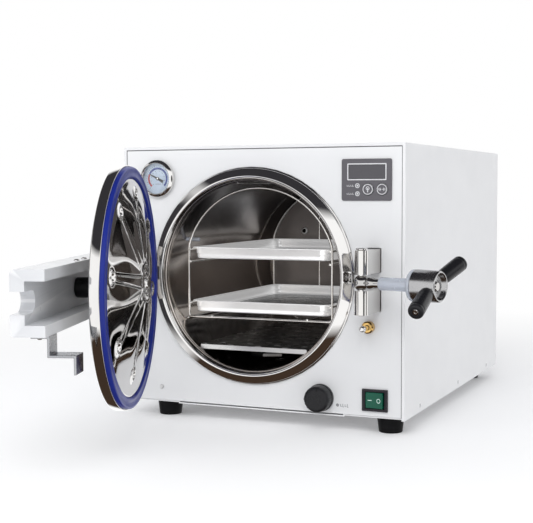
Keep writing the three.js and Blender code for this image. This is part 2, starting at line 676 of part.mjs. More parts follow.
function grip(side) {
  const end = GRIP_REACH;
  const profile = [[0, 12], [8.2, 12], [9.4, 28], [9.7, end - 1.5], [8.6, end], [0, end]];
  const turn = side < 0 ? 90 + GRIP_SLOPE : GRIP_SLOPE - 90;
  const arm = turnedZ(profile, 0, 0, 20).rotate([0, GRIP_LEAN, 0]).rotate([turn, 0, 0]);
  const around = turnedX(rod(HUB_RADIUS + GAP, HUB_START - 30, HUB_END + 40), 0, 0);
  return cut(arm.translate([GRIP_ROOT, 0, 0]), around);
}

function makeHandle() {
  part("handle_hub", turnedX(hubProfile(), 0, 0), steel, bolt);
  part("grip_near", grip(-1), black, bolt);
  part("grip_far", grip(1), black, bolt);
}

// ---- gauge ----
function makeGauge() {
  const { x, z, radius } = GAUGE;
  part("gauge_case", turnedY(rod(22.8, 0.1, 17), x, z), black, front);
  const bezel = [
    [20.4, -7.4], [22.4, -8.4], [24.6, -7.2], [radius, -4], [radius, 0.4], [23.1, 0.4],
    [23.1, -5.4], [20.4, -5.4],
  ];
  part("gauge_bezel", turnedY(bezel, x, z, 32), steel, front);
  const white = { color: 0xd9e2ee, roughness: 0.6 };
  part("gauge_dial", turnedY(rod(22.6, -1, -0.3), x, z), white, front);
  const glass = { color: 0xffffff, roughness: 0.05, transparent: true, opacity: 0.3 };
  part("gauge_glass", turnedY(rod(22.8, -5.1, -4.1), x, z), glass, front);
  const hand = outline([
    [-1.4, -9.5], [1.4, -9.5], [1.1, -2], [0.9, 2], [0.35, 13.4], [-0.35, 13.4], [-0.9, 2], [-1.1, -2],
  ]);
  const hub = turnedY(rod(2.3, -2.4, -1.4), 0, 0, 12);
  const needle = joined(acrossY(hand, -2.2, -1.6), hub).rotate([0, -63, 0]);
  part("gauge_needle", needle.translate([x, 0, z]), black, front);
  const tap = [-0.7071, 0.7071];
  const reach = CHAMBER_OUTER + GAP;
  const pipe = curvedTube([
    [AXIS_X + tap[0] * reach, TOP_PORT_Y, AXIS_Z + tap[1] * reach],
    [AXIS_X + tap[0] * (reach + 25), TOP_PORT_Y, AXIS_Z + tap[1] * (reach + 25)],
    [x + 8, TOP_PORT_Y, z - 6], [x, 34, z], [x, 17.5, z],
  ], 3, 14, 6);
  part("gauge_pipe", pipe, brass, front);
}

// ---- display ----
const BUTTON_Z = 291.7;
const BUTTONS = [["button_left", 152.4], ["button_right", 171.1]];

function makeDisplay() {
  const { x, z, width, height } = DISPLAY;
  const x0 = x - width / 2;
  const z0 = z - height / 2;
  const shape = rounded(x0, x0 + width, z0, z0 + height, 2.5);
  window(shape, 126.2, 175.4, 304.5, 323.1);
  for (const [, buttonX] of BUTTONS) hole(shape, buttonX, BUTTON_Z, 7.7);
  part("display_panel", acrossY(shape, -0.8, 0.5), { color: 0x56555a, roughness: 0.5 }, front);
  const dark = { color: 0x4a494e, roughness: 0.2 };
  part("display_window", box(126.6, 175, -0.4, 0.6, 304.9, 322.7), dark, front);
  for (const [name, buttonX] of BUTTONS) {
    const profile = [[0, -1.8], [6.6, -1.8], [7.2, -1.2], [7.2, 0.2], [2, 0.2], [2, 6], [0, 6]];
    part(name, turnedY(profile, buttonX, BUTTON_Z, 20), { color: 0x4d4c52, roughness: 0.4 }, front);
  }
  const green = { color: 0x1f5a38, roughness: 0.6 };
  part("control_board", box(x - 36, x + 36, 8, 9.6, z - 26, z + 26), green, front);
}

// ---- drain valve, power switch, interlock ----
function makeValve() {
  const { x, z, radius } = KNOB;
  const profile = [
    [0, -19.8], [radius - 2.4, -19.8], [radius - 0.6, -18], [radius, -14], [radius, -4.5],
    [radius + 0.7, -3.4], [radius + 0.7, 0.2], [3.6, 0.2], [3.6, -12], [0, -12],
  ];
  part("valve_knob", turnedY(profile, x, z, 32), black, front);
  part("valve_stem", turnedY(rod(3.2, -11.6, 27), x, z, 12), steel, front);
  const body = joined(
    box(x - 12, x + 12, 20, 48, z - 11, z + 11), turnedY(rod(7.5, 12, 20.5), x, z, 16));
  const seat = turnedY(rod(3.6, 10, 30), x, z, 12);
  part("valve_body", cut(body, seat), brass, front);
  const start = AXIS_Z - CHAMBER_OUTER - GAP;
  const pipe = curvedTube([
    [AXIS_X, DRAIN_Y, start], [AXIS_X, DRAIN_Y, start - 12], [AXIS_X + 14, DRAIN_Y - 8, z],
    [x - 40, 44, z], [x - 24, 36, z], [x - 12.6, 36, z],
  ], 4, 16);
  part("drain_pipe", pipe, brass, front);
}

const ROCKER_TILT = 7;

function makeSwitch() {
  const { x, z, width, height } = SWITCH;
  const flange = box(x - width / 2, x + width / 2, -2, 0.4, z - height / 2, z + height / 2);
  const body = box(x - 14.6, x + 14.6, 0, 24, z - 12, z + 12);
  const pocket = box(x - 12.6, x + 12.6, -3, 10, z - 10.5, z + 10.5);
  part("switch_housing", cut(joined(flange, body), pocket), black, front);
  const section = outline([
    [-11.7, -1.6], [0, 0], [11.7, -1.6], [11.7, 2.5], [4, 8], [-4, 8], [-11.7, 2.5],
  ].map(([a, b]) => [a, b - 2.5]));
  const rocker = upright(section, z - 10.1, z + 10.1).rotate([0, 0, -ROCKER_TILT]);
  part("switch_rocker", rocker.translate([x, 0.5, 0]), { color: 0x0c7a4d, roughness: 0.3 }, front);
}

function makeInterlock() {
  const { x, z } = INTERLOCK;
  const nut = [
    [3.4, -8], [6.2, -8], [8, -6.4], [8, 0.4], [6, 0.4], [6, 7], [3.4, 7],
  ];
  part("interlock_nut", turnedY(nut, x, z, 12), brass, front);
  const plunger = [
    [0, -30], [2.6, -29.4], [4.2, -27.4], [4.6, -25.4], [4.2, -23.4], [2.8, -21.8], [2.8, 9],
    [0, 9],
  ];
  part("interlock_plunger", turnedY(plunger, x, z, 16), steel, front);
  part("interlock_switch", box(x - 10, x + 10, 13.4, 20.4, z - 8, z + 8), black, front);
}

function makePlug() {
  const profile = [[0, -1.4], [2, -1.4], [3, -0.4], [3, 0.4], [1.9, 0.4], [1.9, 4], [0, 4]];
  part("vent_plug", turnedY(profile, PLUG.x, PLUG.z, 16), { color: 0xc9c9c8, roughness: 0.5 }, front);
}

// ---- rear services ----
function makeServices() {
  const base = AXIS_Z + CHAMBER_OUTER + GAP;
  const valve = [
    [0, base], [7, base], [7, base + 9], [9.5, base + 9], [9.5, base + 20], [5, base + 24],
    [5, base + 33], [0, base + 33],
  ];
  part("safety_valve", turnedZ(valve, AXIS_X, TOP_PORT_Y, 16), brass, front);
  const back = CHAMBER_DEPTH + 11;
  const pipe = curvedTube([
    [PORT.x, back, PORT.z], [PORT.x, back + 40, PORT.z], [PORT.x, DEPTH - 70, EXHAUST.z + 20],
    [PORT.x, DEPTH - 30, EXHAUST.z], [PORT.x, DEPTH + 12, EXHAUST.z],
  ], 5.5, 20);
  part("exhaust_pipe", pipe, brass, front);
  const { x, z, width, height } = INLET;
  const body = box(x - width / 2, x + width / 2, DEPTH - 26, DEPTH + 0.6, z - height / 2, z + height / 2);
  const socket = box(x - 11, x + 11, DEPTH - 18, DEPTH + 2, z - 7, z + 7);
  part("power_inlet", cut(body, socket), black, front);
}

makeCover();
makeFrontPanel();
makeBasePan();
makeFeet();
makeRearPanel();
makeFrame();
makeChamber();
makeMouthRing();
makeInsulation();
makeHeater();
makeBaffle();
makeProbe();
makeRack();
makeTray("tray_upper", UPPER_TRAY_RIM);
makeTray("tray_lower", LOWER_TRAY_RIM);
makeBracket("hinge_bracket", HINGE_X, HINGE_Y, HINGE_X - 16.5, HINGE_X + NOSE_RADIUS);
makeBracket("latch_bracket", LATCH_X, LATCH_Y, LATCH_X - NOSE_RADIUS, LATCH_X + 22);
makePin("hinge_pin", HINGE_X, HINGE_Y);
makePin("latch_pin", LATCH_X, LATCH_Y);
makePan();
makeGasket();
makeBar();
makeBoss();
makeStriker();
makeBolt();
makeHandle();
makeGauge();
makeDisplay();
makeValve();
makeSwitch();
makeInterlock();
makePlug();
makeServices();

export default autoclave;
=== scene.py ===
"""Benchtop autoclave: looks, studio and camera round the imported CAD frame.

Lengths are in mm unless said otherwise.
"""

import json
import math

import bmesh
import bpy
from mathutils import Matrix, Vector


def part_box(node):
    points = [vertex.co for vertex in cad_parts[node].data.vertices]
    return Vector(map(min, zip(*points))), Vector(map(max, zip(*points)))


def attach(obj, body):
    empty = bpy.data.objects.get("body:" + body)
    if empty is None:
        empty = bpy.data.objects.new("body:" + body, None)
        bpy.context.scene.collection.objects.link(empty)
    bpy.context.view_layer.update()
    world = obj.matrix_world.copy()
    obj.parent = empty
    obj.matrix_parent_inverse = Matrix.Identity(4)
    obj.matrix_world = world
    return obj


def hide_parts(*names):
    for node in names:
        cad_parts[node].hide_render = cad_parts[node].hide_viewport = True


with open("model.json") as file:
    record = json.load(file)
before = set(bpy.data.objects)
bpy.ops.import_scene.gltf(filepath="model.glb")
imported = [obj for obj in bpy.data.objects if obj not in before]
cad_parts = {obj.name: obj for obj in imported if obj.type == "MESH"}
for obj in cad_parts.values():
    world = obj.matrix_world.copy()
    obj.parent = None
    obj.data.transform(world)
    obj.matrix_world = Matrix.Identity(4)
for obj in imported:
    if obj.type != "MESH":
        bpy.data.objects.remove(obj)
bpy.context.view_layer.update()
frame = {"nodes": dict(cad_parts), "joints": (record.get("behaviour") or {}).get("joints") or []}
NODES = frame["nodes"]
MM = 0.001
JOINTS = {j["name"]: j for j in frame["joints"]}


def node_box(name):
    low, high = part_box(name)
    return Vector(low) / MM, Vector(high) / MM


# ---- where things are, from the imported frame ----
FRONT = node_box("cover")[0].y  # plane of the cabinet's front
RING_LOW, RING_HIGH = node_box("chamber_flange")
AXIS_X = (RING_LOW.x + RING_HIGH.x) / 2
AXIS_Z = (RING_LOW.z + RING_HIGH.z) / 2
RING_RADIUS = (RING_HIGH.z - RING_LOW.z) / 2
RING_FACE = RING_LOW.y - FRONT
COVER_LOW, COVER_HIGH = node_box("cover")
OPEN_ANGLE = JOINTS["door_swing"]["range_deg"][1]
HINGE = Vector(JOINTS["door_swing"]["pos_m"]) / MM
LATCH = Vector(JOINTS["bolt_swing"]["pos_m"]) / MM
BOLT_AXIS = Vector(JOINTS["nut_feed"]["axis"])
BOLT_TURN = math.atan2(-BOLT_AXIS.y, -BOLT_AXIS.x)
DOOR_RADIUS = 142.9
DOOR_CENTRE = AXIS_X - HINGE.x
RIM_FRONT = RING_LOW.y - 1.4 - HINGE.y
GASKET_INNER = 127.6
GASKET_OUTER = 141.2
BORE = 125.0

# ---- placing ----
DOOR = Matrix.Translation((HINGE.x, HINGE.y, 0)) @ Matrix.Rotation(-math.radians(OPEN_ANGLE), 4, "Z")
BOLT = Matrix.Translation((LATCH.x, LATCH.y, AXIS_Z)) @ Matrix.Rotation(BOLT_TURN, 4, "Z")
ALONG_Y = Matrix(((1, 0, 0, 0), (0, 0, 1, 0), (0, -1, 0, 0), (0, 0, 0, 1)))
ALONG_X = Matrix(((0, 0, 1, 0), (1, 0, 0, 0), (0, 1, 0, 0), (0, 0, 0, 1)))


def facing(x, z, y=0.0):
    """Local z runs into the cabinet from the front plane, at this x and height."""
    return Matrix.Translation((x, FRONT + y, z)) @ ALONG_Y


def on_door(x, z, y=0.0):
    return DOOR @ Matrix.Translation((x, y, z)) @ ALONG_Y


def on_bolt(x=0.0):
    return BOLT @ Matrix.Translation((x, 0, 0)) @ ALONG_X


# ---- materials ----
def nodes_of(material):
    material.use_nodes = True
    tree = material.node_tree
    tree.nodes.clear()
    out = tree.nodes.new("ShaderNodeOutputMaterial")
    shader = tree.nodes.new("ShaderNodeBsdfPrincipled")
    tree.links.new(shader.outputs[0], out.inputs[0])
    return tree, shader


def noise(tree, where, scale, stretch=(1, 1, 1), detail=3.0):
    mapping = tree.nodes.new("ShaderNodeMapping")
    mapping.inputs["Scale"].default_value = stretch
    tree.links.new(where, mapping.inputs[0])
    texture = tree.nodes.new("ShaderNodeTexNoise")
    texture.inputs["Scale"].default_value = scale
    texture.inputs["Detail"].default_value = detail
    tree.links.new(mapping.outputs[0], texture.inputs[0])
    return texture.outputs[0]


def spread(tree, value, low, high, start=0.3, end=0.7):
    """A 0 to 1 value mapped to low..high."""
    node = tree.nodes.new("ShaderNodeMapRange")
    tree.links.new(value, node.inputs[0])
    for index, number in enumerate((start, end, low, high)):
        node.inputs[index + 1].default_value = number
    return node.outputs[0]


def blended(tree, factor, a, b):
    node = tree.nodes.new("ShaderNodeMix")
    node.data_type = "RGBA"
    tree.links.new(factor, node.inputs[0])
    for socket, colour in ((node.inputs[6], a), (node.inputs[7], b)):
        if isinstance(colour, tuple):
            socket.default_value = (*colour, 1)
        else:
            tree.links.new(colour, socket)
    return node.outputs[2]


GRAIN_DEPTH = 0.0004  # metres
REFRACTION = 1.45


def finish(name, colour, rough=0.4, metal=0.0, vary=0.05, rough_vary=0.06, grain=(1, 1, 1), grain_scale=900.0,
           bump=0.03, wear=None, patches=14.0, sheen_coat=0.0, see_through=0.0, glow=0.0, shine=0.5,
           painted_shade=None):
    """A finish with mottled colour, uneven gloss and a fine surface grain.

    wear is the colour of its edges. The last argument is painted shade, given as (axis, start, end, colour):
    a blend to that darker colour between two places along an axis of the frame, in metres.
    """
    material = bpy.data.materials.new(name)
    tree, shader = nodes_of(material)
    where = tree.nodes.new("ShaderNodeTexCoord").outputs["Object"]
    mottle = noise(tree, where, patches)
    darker = tuple(c * (1 - vary) for c in colour)
    lighter = tuple(min(1.0, c * (1 + vary)) for c in colour)
    tint = blended(tree, spread(tree, mottle, 0, 1), darker, lighter)
    if wear:
        edge = tree.nodes.new("ShaderNodeNewGeometry").outputs["Pointiness"]
        tint = blended(tree, spread(tree, edge, 0, 0.6, 0.52, 0.62), tint, wear)
    # painted shade: blends the colour to a darker one between two places along an axis
    if painted_shade:
        axis, start, end, shade_colour = painted_shade
        split = tree.nodes.new("ShaderNodeSeparateXYZ")
        tree.links.new(where, split.inputs[0])
        tint = blended(tree, spread(tree, split.outputs[axis], 0, 1, start, end), tint, shade_colour)
    tree.links.new(tint, shader.inputs["Base Color"])
    fine = noise(tree, where, grain_scale, grain, 4.0)
    gloss = tree.nodes.new("ShaderNodeMath")
    gloss.operation = "ADD"
    tree.links.new(spread(tree, fine, -rough_vary / 2, rough_vary / 2), gloss.inputs[0])
    smudge = noise(tree, where, patches * 2.7)
    tree.links.new(spread(tree, smudge, max(0.0, rough - rough_vary), rough + rough_vary), gloss.inputs[1])
    tree.links.new(gloss.outputs[0], shader.inputs["Roughness"])
    if bump:
        relief = tree.nodes.new("ShaderNodeBump")
        relief.inputs["Strength"].default_value = bump
        relief.inputs["Distance"].default_value = GRAIN_DEPTH
        tree.links.new(fine, relief.inputs["Height"])
        tree.links.new(relief.outputs[0], shader.inputs["Normal"])
    shader.inputs["Metallic"].default_value = metal
    shader.inputs["Coat Weight"].default_value = sheen_coat
    shader.inputs["Transmission Weight"].default_value = see_through
    shader.inputs["IOR"].default_value = REFRACTION
    shader.inputs["Specular IOR Level"].default_value = shine
    if glow:
        shader.inputs["Emission Color"].default_value = (*colour, 1)
        shader.inputs["Emission Strength"].default_value = glow
    return material


PAINT = finish("paint", (0.735, 0.74, 0.75), 0.40, vary=0.012, grain_scale=700, bump=0.05,
               wear=(0.84, 0.84, 0.85))
CHROME = finish("polished", (0.74, 0.73, 0.72), 0.045, 1.0, vary=0.03, rough_vary=0.03, grain_scale=500,
                bump=0.006)
PAN_CHROME = finish("pan_polish", (0.72, 0.71, 0.70), 0.05, 1.0, vary=0.03, rough_vary=0.02, grain_scale=300,
                    bump=0.004)
# painted shade: the hinge and latch blocks darken towards the front panel
BLOCK_STEEL = finish("block_steel", (0.72, 0.71, 0.69), 0.09, 1.0, vary=0.03, rough_vary=0.03,
                     grain_scale=500,
                     bump=0.006, painted_shade=(1, -0.300, -0.262, (0.42, 0.40, 0.385)))
HUB_STEEL = finish("hub_steel", (0.44, 0.44, 0.445), 0.22, 1.0, vary=0.06, rough_vary=0.08, grain_scale=500,
                   bump=0.03)
# painted shade: the chamber steel darkens towards the top of the chamber
INNER_STEEL = finish("chamber_steel", (0.60, 0.55, 0.51), 0.19, 1.0, vary=0.05, rough_vary=0.03,
                     grain=(0.12, 6, 0.12), grain_scale=260, bump=0.015, patches=5,
                     painted_shade=(2, 0.19, 0.27, (0.17, 0.16, 0.165)))
EYE_STEEL = finish("eye_steel", (0.52, 0.51, 0.50), 0.10, 1.0, vary=0.04, rough_vary=0.04, grain_scale=500,
                   bump=0.01)
# painted shade: the chamber's end wall is a much darker copy of the chamber steel
SHADED_BACK_STEEL = finish("back_steel_painted_shade", (0.22, 0.20, 0.19), 0.36, 1.0, vary=0.06, rough_vary=0.05, grain_scale=260,
                    bump=0.03, patches=5)
SATIN = finish("satin", (0.60, 0.595, 0.585), 0.30, 1.0, vary=0.06, rough_vary=0.07, grain=(0.2, 4, 1),
               grain_scale=500, bump=0.05, wear=(0.8, 0.8, 0.8))
STRAP_STEEL = finish("strap_steel", (0.36, 0.37, 0.39), 0.26, 1.0, vary=0.06, rough_vary=0.07,
                     grain_scale=500,
                     bump=0.04, wear=(0.7, 0.7, 0.7))
# painted light: the tray steel glows, brightening the trays' rims and walls
GLOWING_TRAY_STEEL = finish("tray_steel_painted_glow", (0.90, 0.90, 0.90), 0.34, 0.80, vary=0.02, rough_vary=0.04, grain_scale=400,
                    bump=0.008, glow=0.34)
# painted reflection: the perforated tray floors are a dark copy of the tray steel, for the dark chamber they
# reflect
SHADED_TRAY_FLOOR = finish("tray_floor_painted_reflection", (0.40, 0.40, 0.41), 0.28, 1.0, vary=0.04, rough_vary=0.05, grain_scale=400,
                    bump=0.01)
DARK_STEEL = finish("dark_steel", (0.13, 0.127, 0.125), 0.30, 1.0, vary=0.08, bump=0.02)
WIRE_STEEL = finish("wire_steel", (0.86, 0.84, 0.81), 0.18, 1.0, vary=0.08, bump=0.03, patches=60)
CASTING = finish("casting", (0.60, 0.61, 0.63), 0.34, vary=0.03, grain_scale=380, bump=0.10,
                 wear=(0.84, 0.84, 0.85), sheen_coat=0.2)
BLACK = finish("black_plastic", (0.010, 0.010, 0.012), 0.30, vary=0.2, grain_scale=1500, bump=0.06,
               wear=(0.04, 0.04, 0.045), shine=0.3)
RUBBER = finish("rubber", (0.004, 0.004, 0.005), 0.6, vary=0.25, grain_scale=900, bump=0.15,
                wear=(0.02, 0.02, 0.02), shine=0.12)
# painted shadow: the colour of a dark strip that stands for the shadow in the gap round the front panel
GAP_SHADOW = finish("seam", (0.10, 0.10, 0.105), 0.6, vary=0.15, bump=0.05, shine=0.2)
BLUE = finish("gasket", (0.008, 0.020, 0.22), 0.34, vary=0.06, rough_vary=0.04, grain_scale=500, bump=0.015,
              sheen_coat=0.03, shine=0.3)
BRASS = finish("brass", (0.72, 0.47, 0.17), 0.2, 1.0, vary=0.12, rough_vary=0.08, bump=0.04, patches=40)
COPPER = finish("pipe", (0.62, 0.36, 0.20), 0.28, 1.0, vary=0.15, rough_vary=0.1, bump=0.04, patches=30)
CLEAR = finish("clear_plastic", (0.76, 0.80, 0.88), 0.20, vary=0.03, bump=0.02, see_through=0.55, patches=50)
GREY_FILM = finish("display_film", (0.105, 0.100, 0.112), 0.42, vary=0.05, grain_scale=1500, bump=0.03)
DARK_WINDOW = finish("display_window", (0.075, 0.072, 0.082), 0.16, vary=0.06, bump=0.0, grain_scale=800)
PRINT = finish("print", (0.66, 0.66, 0.68), 0.5, vary=0.06, bump=0.02, patches=200)
PANEL_PRINT = finish("panel_print", (0.26, 0.26, 0.27), 0.5, vary=0.1, bump=0.02, patches=200)
DIAL = finish("dial", (0.70, 0.80, 0.94), 0.5, vary=0.03, bump=0.02, patches=60)
ARC_BLUE = finish("dial_blue", (0.015, 0.05, 0.32), 0.5, vary=0.08, bump=0.02, patches=200)
ARC_RED = finish("dial_red", (0.55, 0.03, 0.03), 0.5, vary=0.08, bump=0.02, patches=200)
DIAL_INK = finish("dial_ink", (0.10, 0.13, 0.20), 0.5, vary=0.08, bump=0.02, patches=200)
GLASS = finish("glass", (0.97, 0.985, 1.0), 0.03, vary=0.01, rough_vary=0.01, bump=0.0, see_through=1.0)
GREEN = finish("rocker", (0.0, 0.075, 0.043), 0.25, vary=0.10, grain_scale=800, bump=0.03, sheen_coat=0.15,
               glow=0.12, shine=0.3)
HOUSING = finish("switch_housing", (0.010, 0.008, 0.012), 0.35, vary=0.15, grain_scale=1300, bump=0.05,
                 wear=(0.05, 0.045, 0.055), shine=0.3)
PALE_MARK = finish("pale_mark", (0.62, 0.80, 0.74), 0.4, vary=0.04, bump=0.02, patches=200)
BOARD = finish("board", (0.02, 0.11, 0.05), 0.4, vary=0.25, bump=0.1, patches=90)
FELT = finish("felt", (0.66, 0.62, 0.53), 0.95, vary=0.18, grain_scale=400, bump=0.6, patches=40)
WHITE_PLASTIC = finish("white_plastic", (0.60, 0.60, 0.60), 0.35, vary=0.05, bump=0.03, patches=80)
# painted shade: near-black that stands for the shade deep inside the ports' holes
HOLE_SHADE = finish("painted_hole_shade", (0.01, 0.01, 0.01), 0.7, vary=0.3, bump=0.05, shine=0.1)

# ---- mesh building; every helper adds to a bmesh in row-frame millimetres ----


def ring_points(radius, height, steps, place):
    points = []
    for i in range(steps):
        angle = 2 * math.pi * i / steps
        points.append(place @ Vector((radius * math.cos(angle), radius * math.sin(angle), height)))
    return points


def bridge(bm, rows, closed_rows=False):
    count = max(len(row) for row in rows)
    pairs = list(zip(rows, rows[1:]))
    if closed_rows:
        pairs.append((rows[-1], rows[0]))
    for a, b in pairs:
        for i in range(count):
            j = (i + 1) % count
            if len(a) == 1:
                bm.faces.new((a[0], b[j], b[i]))
            elif len(b) == 1:
                bm.faces.new((a[i], a[j], b[0]))
            else:
                bm.faces.new((a[i], a[j], b[j], b[i]))


ON_AXIS = 1e-6  # a radius below this is a point on the axis


def add_lathe(bm, profile, place, steps=96):
    """Profile is [(radius, distance along the axis)]; it closes on itself, or on the axis."""
    rows = []
    for radius, height in profile:
        if radius < ON_AXIS:
            rows.append([bm.verts.new(place @ Vector((0, 0, height)))])
        else:
            rows.append([bm.verts.new(p) for p in ring_points(radius, height, steps, place)])
    on_axis = profile[0][0] < ON_AXIS or profile[-1][0] < ON_AXIS
    for a, b in list(zip(rows, rows[1:])) + ([] if on_axis else [(rows[-1], rows[0])]):
        for i in range(steps):
            j = (i + 1) % steps
            if len(a) == 1 and len(b) == 1:
                continue
            if len(a) == 1:
                bm.faces.new((a[0], b[i], b[j]))
            elif len(b) == 1:
                bm.faces.new((a[j], a[i], b[0]))
            else:
                bm.faces.new((a[j], a[i], b[i], b[j]))


def add_prism(bm, outline, low, high, place):
    """A flat outline [(x, y)] standing from low to high along local z."""
    bottom = [bm.verts.new(place @ Vector((x, y, low))) for x, y in outline]
    top = [bm.verts.new(place @ Vector((x, y, high))) for x, y in outline]
    count = len(outline)
    for i in range(count):
        j = (i + 1) % count
        bm.faces.new((bottom[i], bottom[j], top[j], top[i]))
    bm.faces.new(tuple(reversed(bottom)))
    bm.faces.new(tuple(top))


def add_box(bm, x0, x1, y0, y1, z0, z1, place):
    add_prism(bm, [(x0, y0), (x1, y0), (x1, y1), (x0, y1)], z0, z1, place)


def rounded(x0, x1, y0, y1, radius, corner=6):
    points = []
    centres = ((x1 - radius, y0 + radius, -90), (x1 - radius, y1 - radius, 0),
               (x0 + radius, y1 - radius, 90), (x0 + radius, y0 + radius, 180))
    for cx, cy, start in centres:
        for i in range(corner + 1):
            angle = math.radians(start + 90 * i / corner)
            points.append((cx + radius * math.cos(angle), cy + radius * math.sin(angle)))
    return points


def add_frame(bm, outer, inner, low, high, place):
    """A flat ring between two outlines with the same number of points."""
    rows = []
    for outline, height in ((outer, low), (outer, high), (inner, high), (inner, low)):
        rows.append([bm.verts.new(place @ Vector((x, y, height))) for x, y in outline])
    bridge(bm, rows, closed_rows=True)


def arc_outline(radius, width, start, end, steps):
    """A band of an annulus; angles in degrees clockwise from up, as on a dial."""
    outer, inner = [], []
    for i in range(steps + 1):
        angle = math.radians(start + (end - start) * i / steps)
        outer.append(((radius + width / 2) * math.sin(angle), -(radius + width / 2) * math.cos(angle)))
        inner.append(((radius - width / 2) * math.sin(angle), -(radius - width / 2) * math.cos(angle)))
    return outer + inner[::-1]


def circle(radius, steps=24, x=0.0, y=0.0):
    return [(x + radius * math.cos(2 * math.pi * i / steps), y + radius * math.sin(2 * math.pi * i / steps))
            for i in range(steps)]


def filleted(points, radius, steps=5):
    """The same path with its corners rounded."""
    path = [Vector(points[0])]
    for before, here, after in zip(points, points[1:], points[2:]):
        here = Vector(here)
        a = (Vector(before) - here)
        b = (Vector(after) - here)
        reach = min(radius, a.length / 2, b.length / 2)
        start = here + a.normalized() * reach
        end = here + b.normalized() * reach
        for i in range(steps + 1):
            t = i / steps
            path.append(start * (1 - t) ** 2 + here * 2 * t * (1 - t) + end * t * t)
    path.append(Vector(points[-1]))
    return path


def add_wire(bm, points, radius, sides=10, rounding=0.0):
    """A round wire along a path, with blunt ends."""
    path = filleted(points, rounding) if rounding else [Vector(p) for p in points]
    side = None
    rows = []
    for i, point in enumerate(path):
        ahead = path[min(i + 1, len(path) - 1)] - path[max(i - 1, 0)]
        ahead.normalize()
        if side is None:
            side = ahead.orthogonal().normalized()
        else:
            side = (side - ahead * side.dot(ahead)).normalized()
        other = ahead.cross(side)
        row = []
        for k in range(sides):
            angle = 2 * math.pi * k / sides
            row.append(bm.verts.new(point + (side * math.cos(angle) + other * math.sin(angle)) * radius))
        rows.append(row)
    for cap, point, way in ((rows[0], path[0], -1), (rows[-1], path[-1], 1)):
        ahead = (path[1] - path[0]) if way < 0 else (path[-1] - path[-2])
        tip = bm.verts.new(point + ahead.normalized() * way * radius * 0.45)
        for k in range(sides):
            bm.faces.new((cap[k], cap[(k + 1) % sides], tip))
    bridge(bm, rows)


def add_bead(bm, centre, radius):
    """A small weld blob."""
    matrix = Matrix.Translation(Vector(centre)) @ Matrix.Diagonal((radius, radius, radius * 0.8, 1))
    bmesh.ops.create_icosphere(bm, subdivisions=2, radius=1.0, matrix=matrix)


def add_screw(bm, place, radius, height=1.2):
    """A low pan head with a round socket; local z is out of the surface."""
    add_lathe(bm, [(0, -0.2), (radius, -0.2), (radius, height * 0.35), (radius * 0.8, height * 0.85),
                   (radius * 0.5, height), (radius * 0.42, height), (radius * 0.38, height * 0.3),
                   (0, height * 0.2)], place, 20)


def ease_edges(thing, width, angle):
    """Rounds the edges sharper than an angle in degrees."""
    bevel = thing.modifiers.new("edge", "BEVEL")
    bevel.width = width * MM
    bevel.segments = 2
    bevel.limit_method = "ANGLE"
    bevel.angle_limit = math.radians(angle)
    bevel.harden_normals = True


def object_from(name, bm, material):
    """A linked object in metres from a bmesh in millimetres."""
    bmesh.ops.recalc_face_normals(bm, faces=bm.faces)
    bmesh.ops.scale(bm, vec=(MM, MM, MM), verts=bm.verts)
    mesh = bpy.data.meshes.new(name)
    bm.to_mesh(mesh)
    bm.free()
    mesh.materials.append(material)
    made = bpy.data.objects.new(name, mesh)
    bpy.context.scene.collection.objects.link(made)
    return made


def piece(name, bm, material, body, stands_for=(), bevel=0.0, smooth=40):
    """A visible piece that moves with a body; stands_for names the CAD nodes that it takes the place of."""
    made = object_from(name, bm, material)
    made.data.shade_smooth()
    made.data.set_sharp_from_angle(angle=math.radians(smooth))
    if bevel:
        ease_edges(made, bevel, 40)
    if stands_for:
        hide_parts(*stands_for)
    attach(made, body)


def smooth_step(value):
    t = min(1.0, max(0.0, value))
    return t * t * (3 - 2 * t)


# ---- finishes of the CAD nodes that stay ----
KEPT = [  # finish, rounding of the edges in mm, nodes
    (PAINT, 0.8, ["front_panel", "rear_panel"]),
    (PAINT, 0.3, ["base_pan"]),
    (CHROME, 0.5, ["hinge_pin", "latch_pin", "boss_bolt", "valve_stem", "interlock_plunger"]),
    (STRAP_STEEL, 0.4, ["striker_bracket"]),
    (SATIN, 0.4, ["front_frame"]),
    (DARK_STEEL, 0.3, ["heater_element"]),
    (BLACK, 0.5, ["gauge_case", "power_inlet", "interlock_switch"]),
    (HOUSING, 0.5, ["switch_housing"]),
    (RUBBER, 0.8, ["foot_front_left", "foot_front_right", "foot_rear_left", "foot_rear_right"]),
    (CLEAR, 0.4, ["temperature_probe"]),
    (BRASS, 0.4, ["valve_body", "interlock_nut", "safety_valve"]),
    (COPPER, 0.0, ["gauge_pipe", "drain_pipe", "exhaust_pipe"]),
    (GREY_FILM, 0.3, ["display_panel", "button_left", "button_right"]),
    (DARK_WINDOW, 0.2, ["display_window"]),
    (DIAL, 0.1, ["gauge_dial"]),
    (GLASS, 0.1, ["gauge_glass"]),
    (GREEN, 0.5, ["switch_rocker"]),
    (BOARD, 0.1, ["control_board"]),
    (FELT, 1.0, ["insulation"]),
    (WHITE_PLASTIC, 0.2, ["vent_plug"]),
]


def dress(name, material, edge):
    """Finish for a CAD node, with its facets joined and its edges eased by modifiers."""
    node = NODES[name]
    mesh = node.data
    mesh.materials.clear()
    mesh.materials.append(material)
    if mesh.has_custom_normals:
        mesh.attributes.remove(mesh.attributes["custom_normal"])
    for polygon in mesh.polygons:
        polygon.use_smooth = True
    weld = node.modifiers.new("weld", "WELD")
    weld.merge_threshold = 0.00002
    flat = node.modifiers.new("flat", "DECIMATE")
    flat.decimate_type = "DISSOLVE"
    flat.angle_limit = math.radians(0.8)
    if edge:
        ease_edges(node, edge, 38)
    node.modifiers.new("even", "WEIGHTED_NORMAL").keep_sharp = True


for look, edge, names in KEPT:
    for kept_name in names:
        dress(kept_name, look, edge)

# ---- cabinet cover: one bent sheet with eased folds ----


PROUD = 0.3  # room left for the screw heads at the cover's sides


